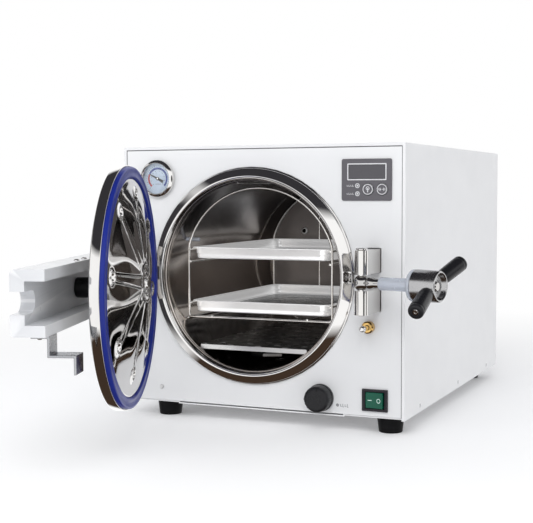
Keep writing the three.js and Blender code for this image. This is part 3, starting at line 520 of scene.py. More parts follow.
def make_cover():
    half = COVER_HIGH.x - PROUD
    top = COVER_HIGH.z
    back = COVER_HIGH.y - FRONT
    thick = 1.5
    fold = 2.2  # outer radius of the two long folds

    def arch(inset, radius):
        side, roof = half - inset, top - inset
        points = [(-side, 0.0)]
        for i in range(7):
            angle = math.radians(180 - 15 * i)
            points.append((-side + radius + radius * math.cos(angle),
                           roof - radius + radius * math.sin(angle)))
        for i in range(7):
            angle = math.radians(90 - 15 * i)
            points.append((side - radius + radius * math.cos(angle),
                           roof - radius + radius * math.sin(angle)))
        points.append((side, 0.0))
        return points

    place = Matrix(((1, 0, 0, 0), (0, 0, 1, FRONT), (0, 1, 0, 0), (0, 0, 0, 1)))
    bm = bmesh.new()
    outer, lip, inner = arch(0, fold), arch(4.0, 1.0), arch(thick, 1.0)
    edge = 0.5  # rounding where the front lip turns back
    stations = ((outer, back), (outer, edge), (arch(edge, fold), 0.0), (arch(3.7, 1.2), 0.0), (lip, 0.3),
                (lip, thick), (inner, thick), (inner, back))
    rows = [[bm.verts.new(place @ Vector((x, z, y))) for x, z in line] for line, y in stations]
    for a, b in zip(rows, rows[1:] + rows[:1]):
        for i in range(len(a) - 1):
            bm.faces.new((a[i], a[i + 1], b[i + 1], b[i]))
    for end in (0, -1):
        bm.faces.new([row[end] for row in rows])
    piece("cover_sheet", bm, PAINT, "cabinet", ["cover"])


def make_cabinet_screws():
    heights = ((70, 8.3), (270, 8.4), (452, 8.1))
    bm = bmesh.new()
    for side in (-1, 1):
        for y, z in heights:
            turn = Matrix.Rotation(side * math.pi / 2, 4, "Y")
            place = Matrix.Translation((side * (COVER_HIGH.x - PROUD), FRONT + y, z)) @ turn
            add_lathe(bm, [(0, -0.3), (3.0, -0.3), (3.0, 0.12), (2.4, 0.28), (1.2, 0.28), (1.0, -0.2),
                           (0, -0.2)],
                      place, 20)
    piece("cover_screws", bm, STRAP_STEEL, "cabinet")
    bm = bmesh.new()
    rear = node_box("rear_panel")[1].y
    for x in (-185, 0, 185):
        for z in (14, 335):
            place = Matrix.Translation((x, rear, z)) @ Matrix.Rotation(-math.pi / 2, 4, "X")
            add_lathe(bm, [(0, -0.1), (2.7, -0.1), (2.7, 0.2), (2.0, 0.5), (0.9, 0.5), (0.7, 0.1), (0, 0.1)],
                      place, 16)
    piece("rear_screws", bm, SATIN, "cabinet")


# ---- mouth ring and chamber ----
def make_ring():
    face = RING_FACE
    inner, flat, outer = 127.9, 131.4, 141.6
    slope = math.radians(30)
    turn = 2.0  # radius of the rounding between the flat lip and the slope
    bend = []
    for i in range(7):
        angle = slope * i / 6
        bend.append((flat + turn * math.sin(angle), face + turn * (1 - math.cos(angle))))
    low = bend[-1][1] + (outer - bend[-1][0]) * math.tan(slope)
    edge = []
    for i in range(7):
        angle = slope + (math.pi / 2 - slope) * i / 6
        edge.append((outer + 1.3 * (math.sin(angle) - math.sin(slope)),
                     low + 1.3 * (math.cos(slope) - math.cos(angle))))
    profile = [(inner, -2.5), (inner, face + 2.0), (inner + 0.25, face + 1.0), (inner + 0.8, face + 0.4),
               (inner + 1.6, face + 0.05), *bend, *edge, (edge[-1][0], -0.4), (RING_RADIUS, 0.2),
               (RING_RADIUS, 20.6), (inner, 20.6)]
    bm = bmesh.new()
    add_lathe(bm, profile, facing(AXIS_X, AXIS_Z), 256)
    piece("mouth_ring", bm, CHROME, "cabinet", ["chamber_flange"], smooth=24)


PORT_X, PORT_Z = -75.6, 225  # the port in the chamber's end wall


def make_chamber():
    back = 350.0
    wall = 2.5
    profile = [(BORE - 4, back + 1.0), (BORE - 1.5, back - 0.6), (BORE, back - 4), (BORE, 200), (BORE, 60),
               (BORE, 0.6), (BORE + 0.4, -1.2), (BORE + 1.2, -2.3), (BORE + wall - 0.3, -2.4),
               (BORE + wall, -2),
               (BORE + wall, back + 2), (BORE - 4, back + 2.4)]
    bm = bmesh.new()
    add_lathe(bm, profile, facing(AXIS_X, AXIS_Z), 160)
    piece("chamber_shell", bm, INNER_STEEL, "cabinet", ["chamber"], smooth=50)
    bm = bmesh.new()
    dish = [(0, back + 8.0), (40, back + 7.6), (74, back + 6.6), (78, back + 6.0), (82, back + 5.9),
            (104, back + 3.6), (BORE - 4.2, back + 1.2), (BORE - 4.2, back + 2.6), (71, back + 9),
            (0, back + 11)]
    add_lathe(bm, dish, facing(AXIS_X, AXIS_Z), 160)
    piece("chamber_back", bm, SHADED_BACK_STEEL, "cabinet", smooth=50)
    bm = bmesh.new()
    for x, z, r, y in ((PORT_X, PORT_Z, 4.4, 354.0), (AXIS_X - 26, AXIS_Z - 110, 5.2, 350.4),
                       (AXIS_X + 26, AXIS_Z - 110, 5.2, 350.4)):
        add_lathe(bm, [(r - 0.9, -0.6), (r + 0.5, -0.6), (r + 1.3, 0), (r + 1.3, 2.4), (r - 0.9, 2.4)],
                  facing(x, z, y), 28)
    piece("port_collars", bm, SATIN, "cabinet")
    # painted shade: dark discs inside the end-wall port and the floor drain stand for the shade in those
    # holes
    bm = bmesh.new()
    add_lathe(bm, [(0, 0.5), (4.1, 0.5), (4.1, 2), (0, 2)], facing(PORT_X, PORT_Z, 354), 24)
    floor = Matrix.Translation((AXIS_X, FRONT + 100, AXIS_Z - BORE + 0.1))
    add_lathe(bm, [(0, 0.0), (4.4, 0.0), (4.4, 0.6), (0, 0.6)], floor, 24)
    piece("port_hole_shades", bm, HOLE_SHADE, "cabinet")
    bm = bmesh.new()
    add_lathe(bm, [(4.6, 0.2), (7.2, 0.2), (7.6, 0.8), (7.2, 1.4), (4.6, 1.4)], floor, 28)
    seam_radius = BORE - 0.2
    path = []
    for i in range(60):
        y = 6 + i * 5.7
        path.append((AXIS_X + seam_radius * math.cos(math.radians(100)) + 0.1 * math.sin(i),
                     FRONT + y, AXIS_Z + seam_radius * math.sin(math.radians(100))))
    add_wire(bm, path, 0.8, sides=6)
    piece("chamber_seam", bm, SATIN, "cabinet")


BAFFLE_Z = 82.0


def perforated(bm, xs, ys, low, high, hole, skip=lambda x, y: False, long=1.0):
    """A sheet with a round hole in every cell of the grid; hole is the radius, long stretches it along x."""
    def at(x, y, z):
        return bm.verts.new((x, y, z))

    for x0, x1 in zip(xs, xs[1:]):
        for y0, y1 in zip(ys, ys[1:]):
            cx, cy = (x0 + x1) / 2, (y0 + y1) / 2
            square = [(x1, cy), (x1, y1), (cx, y1), (x0, y1), (x0, cy), (x0, y0), (cx, y0), (x1, y0)]
            tops = [at(x, y, high) for x, y in square]
            lows = [at(x, y, low) for x, y in square]
            if skip(cx, cy):
                bm.faces.new(tops)
                bm.faces.new(lows[::-1])
                continue
            ring = [(cx + hole * long * math.cos(math.pi * k / 4), cy + hole * math.sin(math.pi * k / 4))
                    for k in range(8)]
            top_ring = [at(x, y, high) for x, y in ring]
            low_ring = [at(x, y, low) for x, y in ring]
            for k in range(8):
                j = (k + 1) % 8
                bm.faces.new((top_ring[k], tops[k], tops[j], top_ring[j]))
                bm.faces.new((low_ring[j], lows[j], lows[k], low_ring[k]))
                bm.faces.new((low_ring[k], top_ring[k], top_ring[j], low_ring[j]))


def span(start, end, count):
    return [start + (end - start) * i / count for i in range(count + 1)]


def make_baffle():
    half = math.sqrt((BORE - 0.8) ** 2 - (AXIS_Z - BAFFLE_Z) ** 2)
    thick, hole = 1.2, 1.6
    left, near, far = AXIS_X - half, FRONT + 6.2, FRONT + 345
    across, along = 16, 36
    pitch_x, pitch_y = 2 * half / across, (far - near) / along

    def solid(x, y):
        column, row = int((x - left) / pitch_x), int((y - near) / pitch_y)
        return (column + row) % 4 != 0 or row % 2 == 1

    bm = bmesh.new()
    perforated(bm, span(left, left + 2 * half, across), span(near, far, along), BAFFLE_Z, BAFFLE_Z + thick,
               hole,
               skip=solid, long=1.2)
    add_box(bm, left + 8, left + 2 * half - 8, FRONT + 5, FRONT + 6.2, BAFFLE_Z - 5, BAFFLE_Z + thick,
            Matrix.Identity(4))
    bmesh.ops.remove_doubles(bm, verts=bm.verts, dist=0.001)
    piece("baffle", bm, DARK_STEEL, "cabinet", ["baffle_plate"], smooth=30)
    bm = bmesh.new()
    for column in range(across):
        for row in range(along):
            x, y = left + (column + 0.5) * pitch_x, near + (row + 0.5) * pitch_y
            if not solid(x, y):
                place = Matrix.Translation((x, y, BAFFLE_Z + thick - 0.2)) @ Matrix.Diagonal((1.25, 1, 1, 1))
                add_lathe(bm, [(1.0, 0), (4.0, 0), (3.7, 0.5), (2.8, 0.9), (1.6, 1.0), (1.0, 0.8)], place, 14)
    piece("baffle_collars", bm, SATIN, "cabinet", smooth=60)
    bm = bmesh.new()
    outline = rounded(left + 2, left + 2 * half - 2, BAFFLE_Z - 4.8, BAFFLE_Z + 1.4, 1.2)
    add_prism(bm, [(x, -z) for x, z in outline], 4.4, 5.0, facing(0, 0))
    piece("baffle_lip", bm, SATIN, "cabinet", bevel=0.2)


# ---- rack and trays ----
WIRE = 1.6
RACK_HALF = 104.7
RACK_FRONT, RACK_REAR = 25.0, 320.0
RACK_FOOT = AXIS_Z - 59.7
SHOULDER = AXIS_Z + 38.0
ARCH_Z = AXIS_Z + 7.0
ARCH_RADIUS = 109.2
UPPER_RIM, LOWER_RIM = 213.5, 140.5
GUARD_RAIL_Z = 193.5


def rack_loop(y):
    start = math.atan2(SHOULDER - ARCH_Z, RACK_HALF)
    path = [(AXIS_X - 30, FRONT + y, RACK_FOOT), (AXIS_X + RACK_HALF, FRONT + y, RACK_FOOT)]
    for i in range(33):
        angle = start + (math.pi - 2 * start) * i / 32
        path.append((AXIS_X + ARCH_RADIUS * math.cos(angle), FRONT + y,
                     ARCH_Z + ARCH_RADIUS * math.sin(angle)))
    path += [(AXIS_X - RACK_HALF, FRONT + y, RACK_FOOT), (AXIS_X - 30, FRONT + y, RACK_FOOT)]
    return path


def make_rack():
    bm = bmesh.new()
    rail = RACK_HALF - 1.5 * WIRE
    for y in (RACK_FRONT, RACK_REAR):
        add_wire(bm, rack_loop(y), WIRE, rounding=5)
    for side in (-1, 1):
        runs = [(rail, rim - 1.4 - WIRE) for rim in (UPPER_RIM, LOWER_RIM)]
        runs += [(rail, GUARD_RAIL_Z), (RACK_HALF + WIRE, RACK_FOOT - WIRE), (70, RACK_FOOT + WIRE)]
        for x, z in runs:
            ends = [(AXIS_X + side * x, FRONT + RACK_FRONT - WIRE, z),
                    (AXIS_X + side * x, FRONT + RACK_REAR + WIRE, z)]
            add_wire(bm, ends, WIRE)
            for y in (RACK_FRONT, RACK_REAR):
                add_bead(bm, (AXIS_X + side * (x - 0.4), FRONT + y, z), 2.1)
    stop = [(-36, FRONT + RACK_REAR, RACK_FOOT), (-36, FRONT + RACK_REAR, ARCH_Z + 105.6)]
    add_wire(bm, stop, WIRE)
    piece("rack_wires", bm, WIRE_STEEL, "cabinet", ["tray_rack"], smooth=60)


def make_tray(name, rim):
    y0, y1 = FRONT + RACK_FRONT - 2.5, FRONT + RACK_REAR - WIRE - 3
    reach, half, height = 102.7, 98.4, 15.5
    over = reach - half
    corner = 7

    def loop(inset, z, radius):
        return [Vector((x, y, z)) for x, y in
                rounded(AXIS_X - reach + inset, AXIS_X + reach - inset, y0 + inset, y1 - inset, radius,
                        corner)]

    wall = 0.9
    low = rim - height
    stations = [(0.0, rim - 0.9, 13), (0.25, rim - 1.0, 13), (over - 0.6, rim - 1.0, 12),
                (over, rim - 1.7, 12),
                (over, low + 7.4, 12), (over + 0.9, low + 6.4, 12), (over + 0.9, low + 3.2, 11.5),
                (over + 1.4, low + 1.2, 11), (over + 3.2, low, 9.5),
                (over + 3.6, low + wall, 9.0), (over + 2.4, low + 2.0, 10), (over + 1.9, low + 3.4, 10.5),
                (over + 1.9, low + 6.6, 11), (over + wall, low + 7.8, 11.5),
                (over + wall, rim - 1.4, 11.5), (over + 0.4, rim - 0.15, 12), (over - 0.4, rim, 12.5),
                (0.5, rim, 13), (0.1, rim - 0.3, 13)]
    bm = bmesh.new()
    rows = [[bm.verts.new(p) for p in loop(*station)] for station in stations]
    bridge(bm, rows, closed_rows=True)
    bmesh.ops.remove_doubles(bm, verts=bm.verts, dist=0.0005)
    piece(name + "_pan", bm, GLOWING_TRAY_STEEL, name, [name], smooth=42)
    bm = bmesh.new()
    inset = over + 3.0
    xs = span(AXIS_X - reach + inset, AXIS_X + reach - inset, 24)
    ys = span(y0 + inset, y1 - inset, 34)
    perforated(bm, xs, ys, low, low + wall, 2.1)
    bmesh.ops.remove_doubles(bm, verts=bm.verts, dist=0.0005)
    piece(name + "_floor", bm, SHADED_TRAY_FLOOR, name, smooth=30)


# ---- door: embossed pan, gasket, bar ----
RIBS = 8
RIB_START, RIB_END = 20.0, 99.0
DIMPLE_AT = 107.0
STAR_LIFT, STAR_TURN = 5.0, math.radians(8)  # the pressed star sits a little above the pan's centre, turned
PAN_RADIUS = 126.6
PAN_FLOOR = -0.9
CONE_EDGE, CONE_SLOPE = 119.0, 0.168
GROOVE, LIP = 5.8, 4.2  # how far the gasket's groove and the rim beside it lie below the rim plane


def dome_height(radius):
    inward = CONE_EDGE - radius
    return PAN_FLOOR + CONE_SLOPE * (math.hypot(inward, 6.0) + inward) / 2


def emboss(x, z):
    """Height pressed into the pan: hub ring, eight double-edged ribs, ringed dimples, soft swells."""
    from_centre = math.hypot(x, z)
    z -= STAR_LIFT
    radius = math.hypot(x, z)
    angle = math.atan2(z, x) - STAR_TURN
    lift = 1.3 * math.exp(-((radius - 22.0) / 2.0) ** 2)
    lift -= 2.2 * smooth_step((15.0 - radius) / 4.0)
    lift += 2.4 * smooth_step((7.0 - radius) / 2.5)
    step = 2 * math.pi / RIBS
    off = (angle + step / 2) % step - step / 2
    along, across = radius * math.cos(off), abs(radius * math.sin(off))
    width = 6.6 - 3.0 * (along - RIB_START) / (RIB_END - RIB_START)
    ends = smooth_step((along - RIB_START) / 6.0) * smooth_step((RIB_END + 3 - along) / 6.0)
    edge = 1.0 * math.exp(-((across - width) / 1.15) ** 2)
    lift += ends * (edge + 0.7 * smooth_step((width - across) / 2.0))
    tip = math.hypot(along - DIMPLE_AT, across)
    lift += 1.9 * math.exp(-((tip - 6.2) / 2.3) ** 2) - 2.0 * smooth_step((5.0 - tip) / 3.6)
    swell = 0.5 - 0.5 * math.cos(RIBS * angle)
    lift += 1.6 * swell * math.exp(-((radius - 70.0) / 30.0) ** 2)
    return lift * smooth_step((121.5 - from_centre) / 5.0)


def make_pan():
    steps = 480
    dome_rows = 112
    rim = RIM_FRONT
    groove, lip = rim - GROOVE, rim - LIP
    place = on_door(DOOR_CENTRE, AXIS_Z)
    back = 4.5
    bm = bmesh.new()

    def row(radius, height, pressed):
        points = []
        for i in range(steps):
            angle = 2 * math.pi * i / steps
            x, z = radius * math.cos(angle), radius * math.sin(angle)
            lift = emboss(x, z) if pressed else 0.0
            points.append(place @ Vector((x, -z, height + lift)))
        return [bm.verts.new(p) for p in points]

    top = rim + dome_height(0) + emboss(0, 0)
    rows = [[bm.verts.new(place @ Vector((0, 0, top)))]]
    for i in range(1, dome_rows + 1):
        radius = PAN_RADIUS * i / dome_rows
        rows.append(row(radius, rim + dome_height(radius), True))
    hem = rim - 16.0
    shell = [(GASKET_INNER - 0.5, rim + PAN_FLOOR - 0.1), (GASKET_INNER - 0.1, rim + PAN_FLOOR - 0.6),
             (GASKET_INNER - 0.1, groove), (GASKET_OUTER + 0.3, groove),
             (GASKET_OUTER + 0.3, lip - 0.3), (GASKET_OUTER + 0.6, lip), (DOOR_RADIUS - 0.5, lip),
             (DOOR_RADIUS - 0.1, lip - 0.4), (DOOR_RADIUS, lip - 1.0), (DOOR_RADIUS, hem + 1.6),
             (DOOR_RADIUS - 0.5, hem + 0.5), (DOOR_RADIUS - 1.6, hem), (126, hem), (123.0, hem + 3.0)]
    rows += [row(radius, height, False) for radius, height in shell]
    for i in range(dome_rows // 2 - 3, 0, -1):
        radius = 2 * PAN_RADIUS * i / dome_rows
        rows.append(row(radius, rim + dome_height(radius) - back, True))
    rows.append([bm.verts.new(place @ Vector((0, 0, top - back)))])
    bridge(bm, rows)
    piece("pan", bm, PAN_CHROME, "door", ["door_pan"], smooth=50)


def make_gasket():
    floor, face = RIM_FRONT - GROOVE + 0.2, RIM_FRONT + 1.0
    profile = [(GASKET_INNER, floor), (GASKET_INNER, face - 1.6), (GASKET_INNER + 0.4, face - 0.6),
               (GASKET_INNER + 1.3, face - 0.05), (GASKET_INNER + 3.2, face),
               (GASKET_INNER + 4.2, face - 0.35),
               (GASKET_OUTER - 4.2, face - 0.35), (GASKET_OUTER - 3.2, face),
               (GASKET_OUTER - 1.3, face - 0.05),
               (GASKET_OUTER - 0.4, face - 0.6), (GASKET_OUTER, face - 1.6), (GASKET_OUTER, floor)]
    bm = bmesh.new()
    add_lathe(bm, profile, on_door(DOOR_CENTRE, AXIS_Z), 192)
    piece("gasket_ring", bm, BLUE, "door", ["door_gasket"], smooth=60)


BAR_BACK, BAR_DEPTH, BAR_WEB = 17.7, 36.8, 15.5
BAR_FRONT = BAR_BACK - BAR_DEPTH
BAR_END = LATCH.x - HINGE.x + 25.0
BAR_HALF = 34.5


def make_bar_details():
    bm = bmesh.new()
    top = AXIS_Z + BAR_HALF
    for x in (DOOR_CENTRE + 14, DOOR_CENTRE + 46):
        add_screw(bm, DOOR @ Matrix.Translation((x, BAR_BACK - 8, top)), 3.4, 1.8)
    turn = Matrix.Rotation(math.pi, 4, "X")
    low = AXIS_Z - BAR_HALF - 3.2
    for x in (BAR_END - 22, BAR_END - 36):
        add_screw(bm, DOOR @ Matrix.Translation((x, 5.0, low)) @ turn, 3.0, 1.8)
    piece("bar_screws", bm, CHROME, "door")
    bm = bmesh.new()
    place = on_door(DOOR_CENTRE, AXIS_Z)
    start, end = BAR_FRONT + BAR_WEB + 0.4, RIM_FRONT + 20 - 4.7 - 0.4
    add_lathe(bm, [(5.4, start), (11.0, start), (12.0, start + 1.0), (12.2, start + 2.4), (12.2, end - 8),
                   (11.4, end - 7), (11.4, end - 5), (12.2, end - 4), (12.2, end), (5.4, end)], place, 48)
    piece("boss", bm, BLACK, "door", ["door_boss"], smooth=40)


# ---- handle, knob, switch, display and gauge details ----
def make_grips():
    slope, lean, root, reach = 23.5, 9.5, 95.0, 64.4
    for name, side in (("grip_near", -1), ("grip_far", 1)):
        turn = 90 + slope if side < 0 else slope - 90
        place = (BOLT @ Matrix.Translation((root, 0, 0)) @ Matrix.Rotation(math.radians(turn), 4, "X")
                 @ Matrix.Rotation(math.radians(lean), 4, "Y"))
        bm = bmesh.new()
        profile = [(0, 19.2), (8.2, 19.2), (8.5, 22), (8.9, 24), (9.3, 30), (9.6, 44), (9.7, 56), (9.65, 58),
                   (9.35, 58.6), (9.35, 59.2), (9.6, 59.8), (9.5, 61.6), (9.0, 63.2), (7.8, 64.2),
                   (6.4, reach),
                   (4.4, reach), (4.0, reach - 0.5), (4.0, reach - 2.2), (0, reach - 2.2)]
        add_lathe(bm, profile, place, 40)
        piece(name + "_moulding", bm, BLACK, "handle", [name], smooth=38)
        bm = bmesh.new()
        add_lathe(bm, [(0, 62.4), (3.6, 62.4), (3.6, 63.6), (3.1, 64.1), (1.7, 64.2), (1.5, 63.4), (0, 63.3)],
                  place, 24)
        piece(name + "_screw", bm, CHROME, "handle")


HUB_START, HUB_END, HUB_RADIUS = 75.5, 108.0, 19.4


def make_bolt_pieces():
    """Ball eye between the latch blocks, its shank, the clear sleeve and washer, and the turned hub."""
    bm = bmesh.new()
    ball, cut = 10.0, 9.1
    start = math.asin(cut / ball)
    profile = [(3.4, -cut)]
    for i in range(21):
        angle = -start + 2 * start * i / 20
        profile.append((ball * math.cos(angle), ball * math.sin(angle)))
    profile.append((3.4, cut))
    add_lathe(bm, profile, BOLT, 64)
    neck = [(0, 7), (5.4, 7), (6.6, 9.5), (7.2, 11), (7.2, 15.2), (6.9, 16.4), (5.9, 18.6), (5.8, 19.4),
            (5.8, HUB_END - 5), (4.8, HUB_END - 4.1), (0, HUB_END - 4)]
    add_lathe(bm, neck, on_bolt(), 48)
    piece("eye_and_shank", bm, EYE_STEEL, "eye_bolt", ["eye_bolt"], smooth=35)
    bm = bmesh.new()
    add_lathe(bm, [(6.2, 27), (7.6, 27), (8.0, 27.5), (8.0, 69), (7.6, 69.5), (6.2, 69.5)], on_bolt(), 48)
    piece("sleeve", bm, CLEAR, "eye_bolt", ["bolt_sleeve"], smooth=50)
    bm = bmesh.new()
    wide = HUB_RADIUS - 0.3
    add_lathe(bm, [(8.5, 70.5), (wide - 0.8, 70.5), (wide, 71.3), (wide, 74.6), (wide - 0.5, 75.1),
                   (8.5, 75.1)],
              on_bolt(), 64)
    piece("washer", bm, CLEAR, "handle_carriage", ["thrust_washer"], smooth=50)
    bm = bmesh.new()
    hub = [(6.3, 95.5), (8.8, 95.5), (8.8, HUB_START), (HUB_RADIUS - 0.6, HUB_START),
           (HUB_RADIUS, HUB_START + 0.6), (18.75, 106.0), (18.55, 106.9), (18.1, 107.6), (17.4, HUB_END),
           (16.4, HUB_END), (15.8, 107.5), (15.2, 106.2), (13.9, 102.4), (13.4, 101.9), (12.8, 101.8),
           (8.4, 101.8), (8.2, 101.2), (6.3, 101.2)]
    add_lathe(bm, hub, on_bolt(), 96)
    piece("hub", bm, HUB_STEEL, "handle", ["handle_hub"], smooth=28)


NOSE_RADIUS, BLOCK_INNER, BLOCK_OUTER, ROOT_FRONT = 8.6, 9.9, 39.6, 8.0


def make_blocks():
    """The paired blocks that hold the hinge pin and the latch pin, each pair on one root behind the panel."""
    for name, pin, left, right in (("hinge", HINGE, -16.5, NOSE_RADIUS),
                                   ("latch", LATCH, -NOSE_RADIUS, 22.0)):
        place = Matrix.Translation((pin.x, 0, AXIS_Z))
        outline = [(NOSE_RADIUS, FRONT + ROOT_FRONT + 1), (-NOSE_RADIUS, FRONT + ROOT_FRONT + 1)]
        for i in range(49):
            angle = math.pi + math.pi * i / 48
            outline.append((NOSE_RADIUS * math.cos(angle), pin.y + NOSE_RADIUS * math.sin(angle)))
        bm = bmesh.new()
        add_prism(bm, outline, BLOCK_INNER, BLOCK_OUTER, place)
        add_prism(bm, outline, -BLOCK_OUTER, -BLOCK_INNER, place)
        add_box(bm, left, right, FRONT + ROOT_FRONT, FRONT + 20.6, -BLOCK_OUTER, BLOCK_OUTER, place)
        piece(name + "_blocks", bm, BLOCK_STEEL, "cabinet", [name + "_bracket"], smooth=35)


GAUGE_X, GAUGE_Z = -148.0, 307.0


def make_bezel():
    profile = [(20.4, -7.2), (20.7, -7.9), (21.1, -8.3), (21.5, -8.2), (24.5, -5.6), (25.1, -4.9),
               (25.45, -4.0),
               (25.5, -3.2), (25.5, 0.4), (23.1, 0.4), (23.1, -5.4), (20.4, -5.4)]
    bm = bmesh.new()
    add_lathe(bm, profile, facing(GAUGE_X, GAUGE_Z), 96)
    piece("bezel", bm, CHROME, "cabinet", ["gauge_bezel"], smooth=40)


def make_needle():
    turn = Matrix.Rotation(math.radians(-63), 4, "Z")
    place = facing(GAUGE_X, GAUGE_Z) @ turn
    bm = bmesh.new()
    outline = [(-1.9, 9.4), (-1.3, 2), (-1.1, -2), (-0.5, -13.2), (0.5, -13.2), (1.1, -2), (1.3, 2),
               (1.9, 9.4)]
    add_prism(bm, outline, -2.1, -1.6, place)
    add_lathe(bm, [(0, -1.4), (2.3, -1.4), (2.3, -2.2), (0, -2.2)], place, 24)
    piece("needle", bm, BLACK, "gauge_needle", ["gauge_needle"])
    bm = bmesh.new()
    add_lathe(bm, [(0, -2.2), (1.3, -2.2), (1.3, -2.55), (0.8, -2.75), (0, -2.8)], place, 20)
    piece("needle_cap", bm, CHROME, "gauge_needle")


def make_gap_shadow():
    """The shadow line between the cover's folded edge and the front panel."""
    half, top = COVER_HIGH.x - 4.0, COVER_HIGH.z - 4.0
    low, wide = 3.6, 1.1
    bm = bmesh.new()
    for x0, x1, z0, z1 in ((-half, half, top - wide, top), (-half, -half + wide, low, top),
                           (half - wide, half, low, top)):
        add_box(bm, x0, x1, -z1, -z0, 0.62, 0.79, facing(0, 0))
    piece("panel_gap_shadow", bm, GAP_SHADOW, "cabinet")


KNOB_X, KNOB_Z = 88.5, 23.0


def make_knob():
    radius, face = 17.2, -19.8
    place = facing(KNOB_X, KNOB_Z)
    bm = bmesh.new()
    steps = 120
    rows = []
    stations = [(0, face + 0.3), (6, face + 0.25), (11, face), (radius - 3.4, face + 0.15),
                (radius - 2.0, face + 0.8), (radius - 0.9, face + 2.2), (radius - 0.4, face + 4.2),
                (radius - 0.1, face + 7), (radius, -5.2),
                (radius, -4.5), (radius + 0.7, -3.6), (radius + 0.7, 0.2), (3.6, 0.2), (3.6, -12), (0, -12)]
    for index, (r, y) in enumerate(stations):
        if r == 0:
            rows.append([bm.verts.new(place @ Vector((0, 0, y)))])
            continue
        row = []
        for i in range(steps):
            angle = 2 * math.pi * i / steps
            flute = 0.35 * max(0.0, math.cos(20 * angle)) ** 4 if 5 <= index <= 7 else 0.0
            reach = r - flute
            row.append(bm.verts.new(place @ Vector((reach * math.cos(angle), reach * math.sin(angle), y))))
        rows.append(row)
    bridge(bm, rows)
    piece("knob", bm, BLACK, "valve_knob", ["valve_knob"], smooth=35)
    bm = bmesh.new()
    pointer = place @ Matrix.Rotation(math.radians(8), 4, "Z")
    add_prism(bm, rounded(-0.7, 0.7, -14.5, -10.2, 0.6), face, face + 0.6, pointer)
    piece("knob_pointer", bm, RUBBER, "valve_knob")


def stroke(bm, x0, z0, x1, z1, width, low, high, place):
    """A straight printed line between two points, with round ends."""
    length = math.hypot(x1 - x0, z1 - z0)
    angle = math.atan2(-(z1 - z0), x1 - x0)
    local = place @ Matrix.Translation((x0, -z0, 0)) @ Matrix.Rotation(angle, 4, "Z")
    add_prism(bm, rounded(-width / 2, length + width / 2, -width / 2, width / 2, width * 0.48, 3), low, high,
              local)


def make_panel_marks():
    """Plain open and close marks on either side of the valve knob: a ring or a dot beside a row of ticks."""
    bm = bmesh.new()
    high, low = 0.82, 0.70
    for x, z, closed in ((66.5, 19.0, False), (111.5, 14.6, True)):
        place = facing(x, z)
        if closed:
            add_prism(bm, circle(2.1, 24), low, high, place)
        else:
            add_frame(bm, circle(2.3, 24), circle(1.5, 24), low, high, place)
        for i in range(4):
            tall = 1.9 if i % 2 else 1.3
            stroke(bm, 4.2 + i * 3.0, -tall, 4.2 + i * 3.0, tall, 0.8, low, high, place)
            stroke(bm, 4.2 + i * 3.0, -tall, 5.6 + i * 3.0, -tall, 0.7, low, high, place)
    piece("valve_marks", bm, PANEL_PRINT, "cabinet")


def make_display():
    low, high = -0.9, -0.75
    place = facing(0, 0)
    bm = bmesh.new()
    add_frame(bm, [(x, -z) for x, z in rounded(124.9, 176.7, 303.2, 324.4, 1.0, 3)],
              [(x, -z) for x, z in rounded(126.3, 175.3, 304.6, 323.0, 0.5, 3)], low, high, place)
    for x, z in ((138.4, 296.3), (138.5, 286.1)):
        add_frame(bm, circle(3.0, 28, x, -z), circle(2.0, 28, x, -z), low, high, place)
        add_prism(bm, circle(1.1, 20, x, -z), low, high, place)
        for i in range(4):
            tall = 1.0 if i % 2 else 0.7
            stroke(bm, 124.6 + i * 2.5, z - tall, 124.6 + i * 2.5, z + tall, 0.6, low, high, place)
            stroke(bm, 124.6 + i * 2.5, z - tall, 125.9 + i * 2.5, z - tall, 0.5, low, high, place)
    piece("display_print", bm, PRINT, "cabinet")
    low, high = -1.9, -1.75
    for name, x, icon in (("button_left", 152.4, "heat"), ("button_right", 171.1, "fan")):
        bm = bmesh.new()
        z = 291.7
        add_frame(bm, circle(7.1, 40, x, -z), circle(6.0, 40, x, -z), -1.35, -1.1, place)
        add_frame(bm, circle(6.55, 40, x, -z), circle(5.7, 40, x, -z), low, high, place)
        if icon == "heat":
            add_frame(bm, circle(2.4, 24, x, -(z + 1.3)), circle(1.6, 24, x, -(z + 1.3)), low, high, place)
            stroke(bm, x, z - 3.2, x, z + 1.2, 1.3, low, high, place)
        else:
            for side in (-1, 1):
                stroke(bm, x + side * 1.0, z, x + side * 2.2, z, 0.9, low, high, place)
                stroke(bm, x + side * 2.4, z - 1.7, x + side * 2.4, z + 1.7, 0.8, low, high, place)
                stroke(bm, x + side * 4.0, z - 1.0, x + side * 4.0, z + 1.0, 0.8, low, high, place)
        piece(name + "_icon", bm, PRINT, name)


def make_gauge_print():
    place = facing(GAUGE_X, GAUGE_Z)
    low, high = -1.14, -0.98
    bm = bmesh.new()
    add_prism(bm, arc_outline(13.8, 2.5, -63, 134, 48), low, high, place)
    piece("gauge_scale_blue", bm, ARC_BLUE, "cabinet")
    bm = bmesh.new()
    add_prism(bm, arc_outline(13.8, 2.5, -138, -66, 20), low, high, place)
    piece("gauge_scale_red", bm, ARC_RED, "cabinet")
    bm = bmesh.new()
    for i in range(28):
        angle = math.radians(-138 + 272 * i / 27)
        inner = 16.1 if i % 3 == 0 else 16.8
        stroke(bm, inner * math.sin(angle), inner * math.cos(angle), 17.9 * math.sin(angle),
               17.9 * math.cos(angle), 0.32 if i % 3 else 0.5, low, high, place)
    for i in range(10):
        angle = math.radians(-138 + 272 * i / 9)
        x, z = 10.4 * math.sin(angle), 10.4 * math.cos(angle)
        stroke(bm, x - 0.5, z, x + 0.5, z, 0.6, low, high, place)
    for i in range(4):
        stroke(bm, -3.2 + 2.1 * i, -7.4, -2.2 + 2.1 * i, -7.4, 0.7, low, high, place)
    piece("gauge_ticks", bm, DIAL_INK, "cabinet")


SWITCH_X, SWITCH_Z = 162.3, 24.3


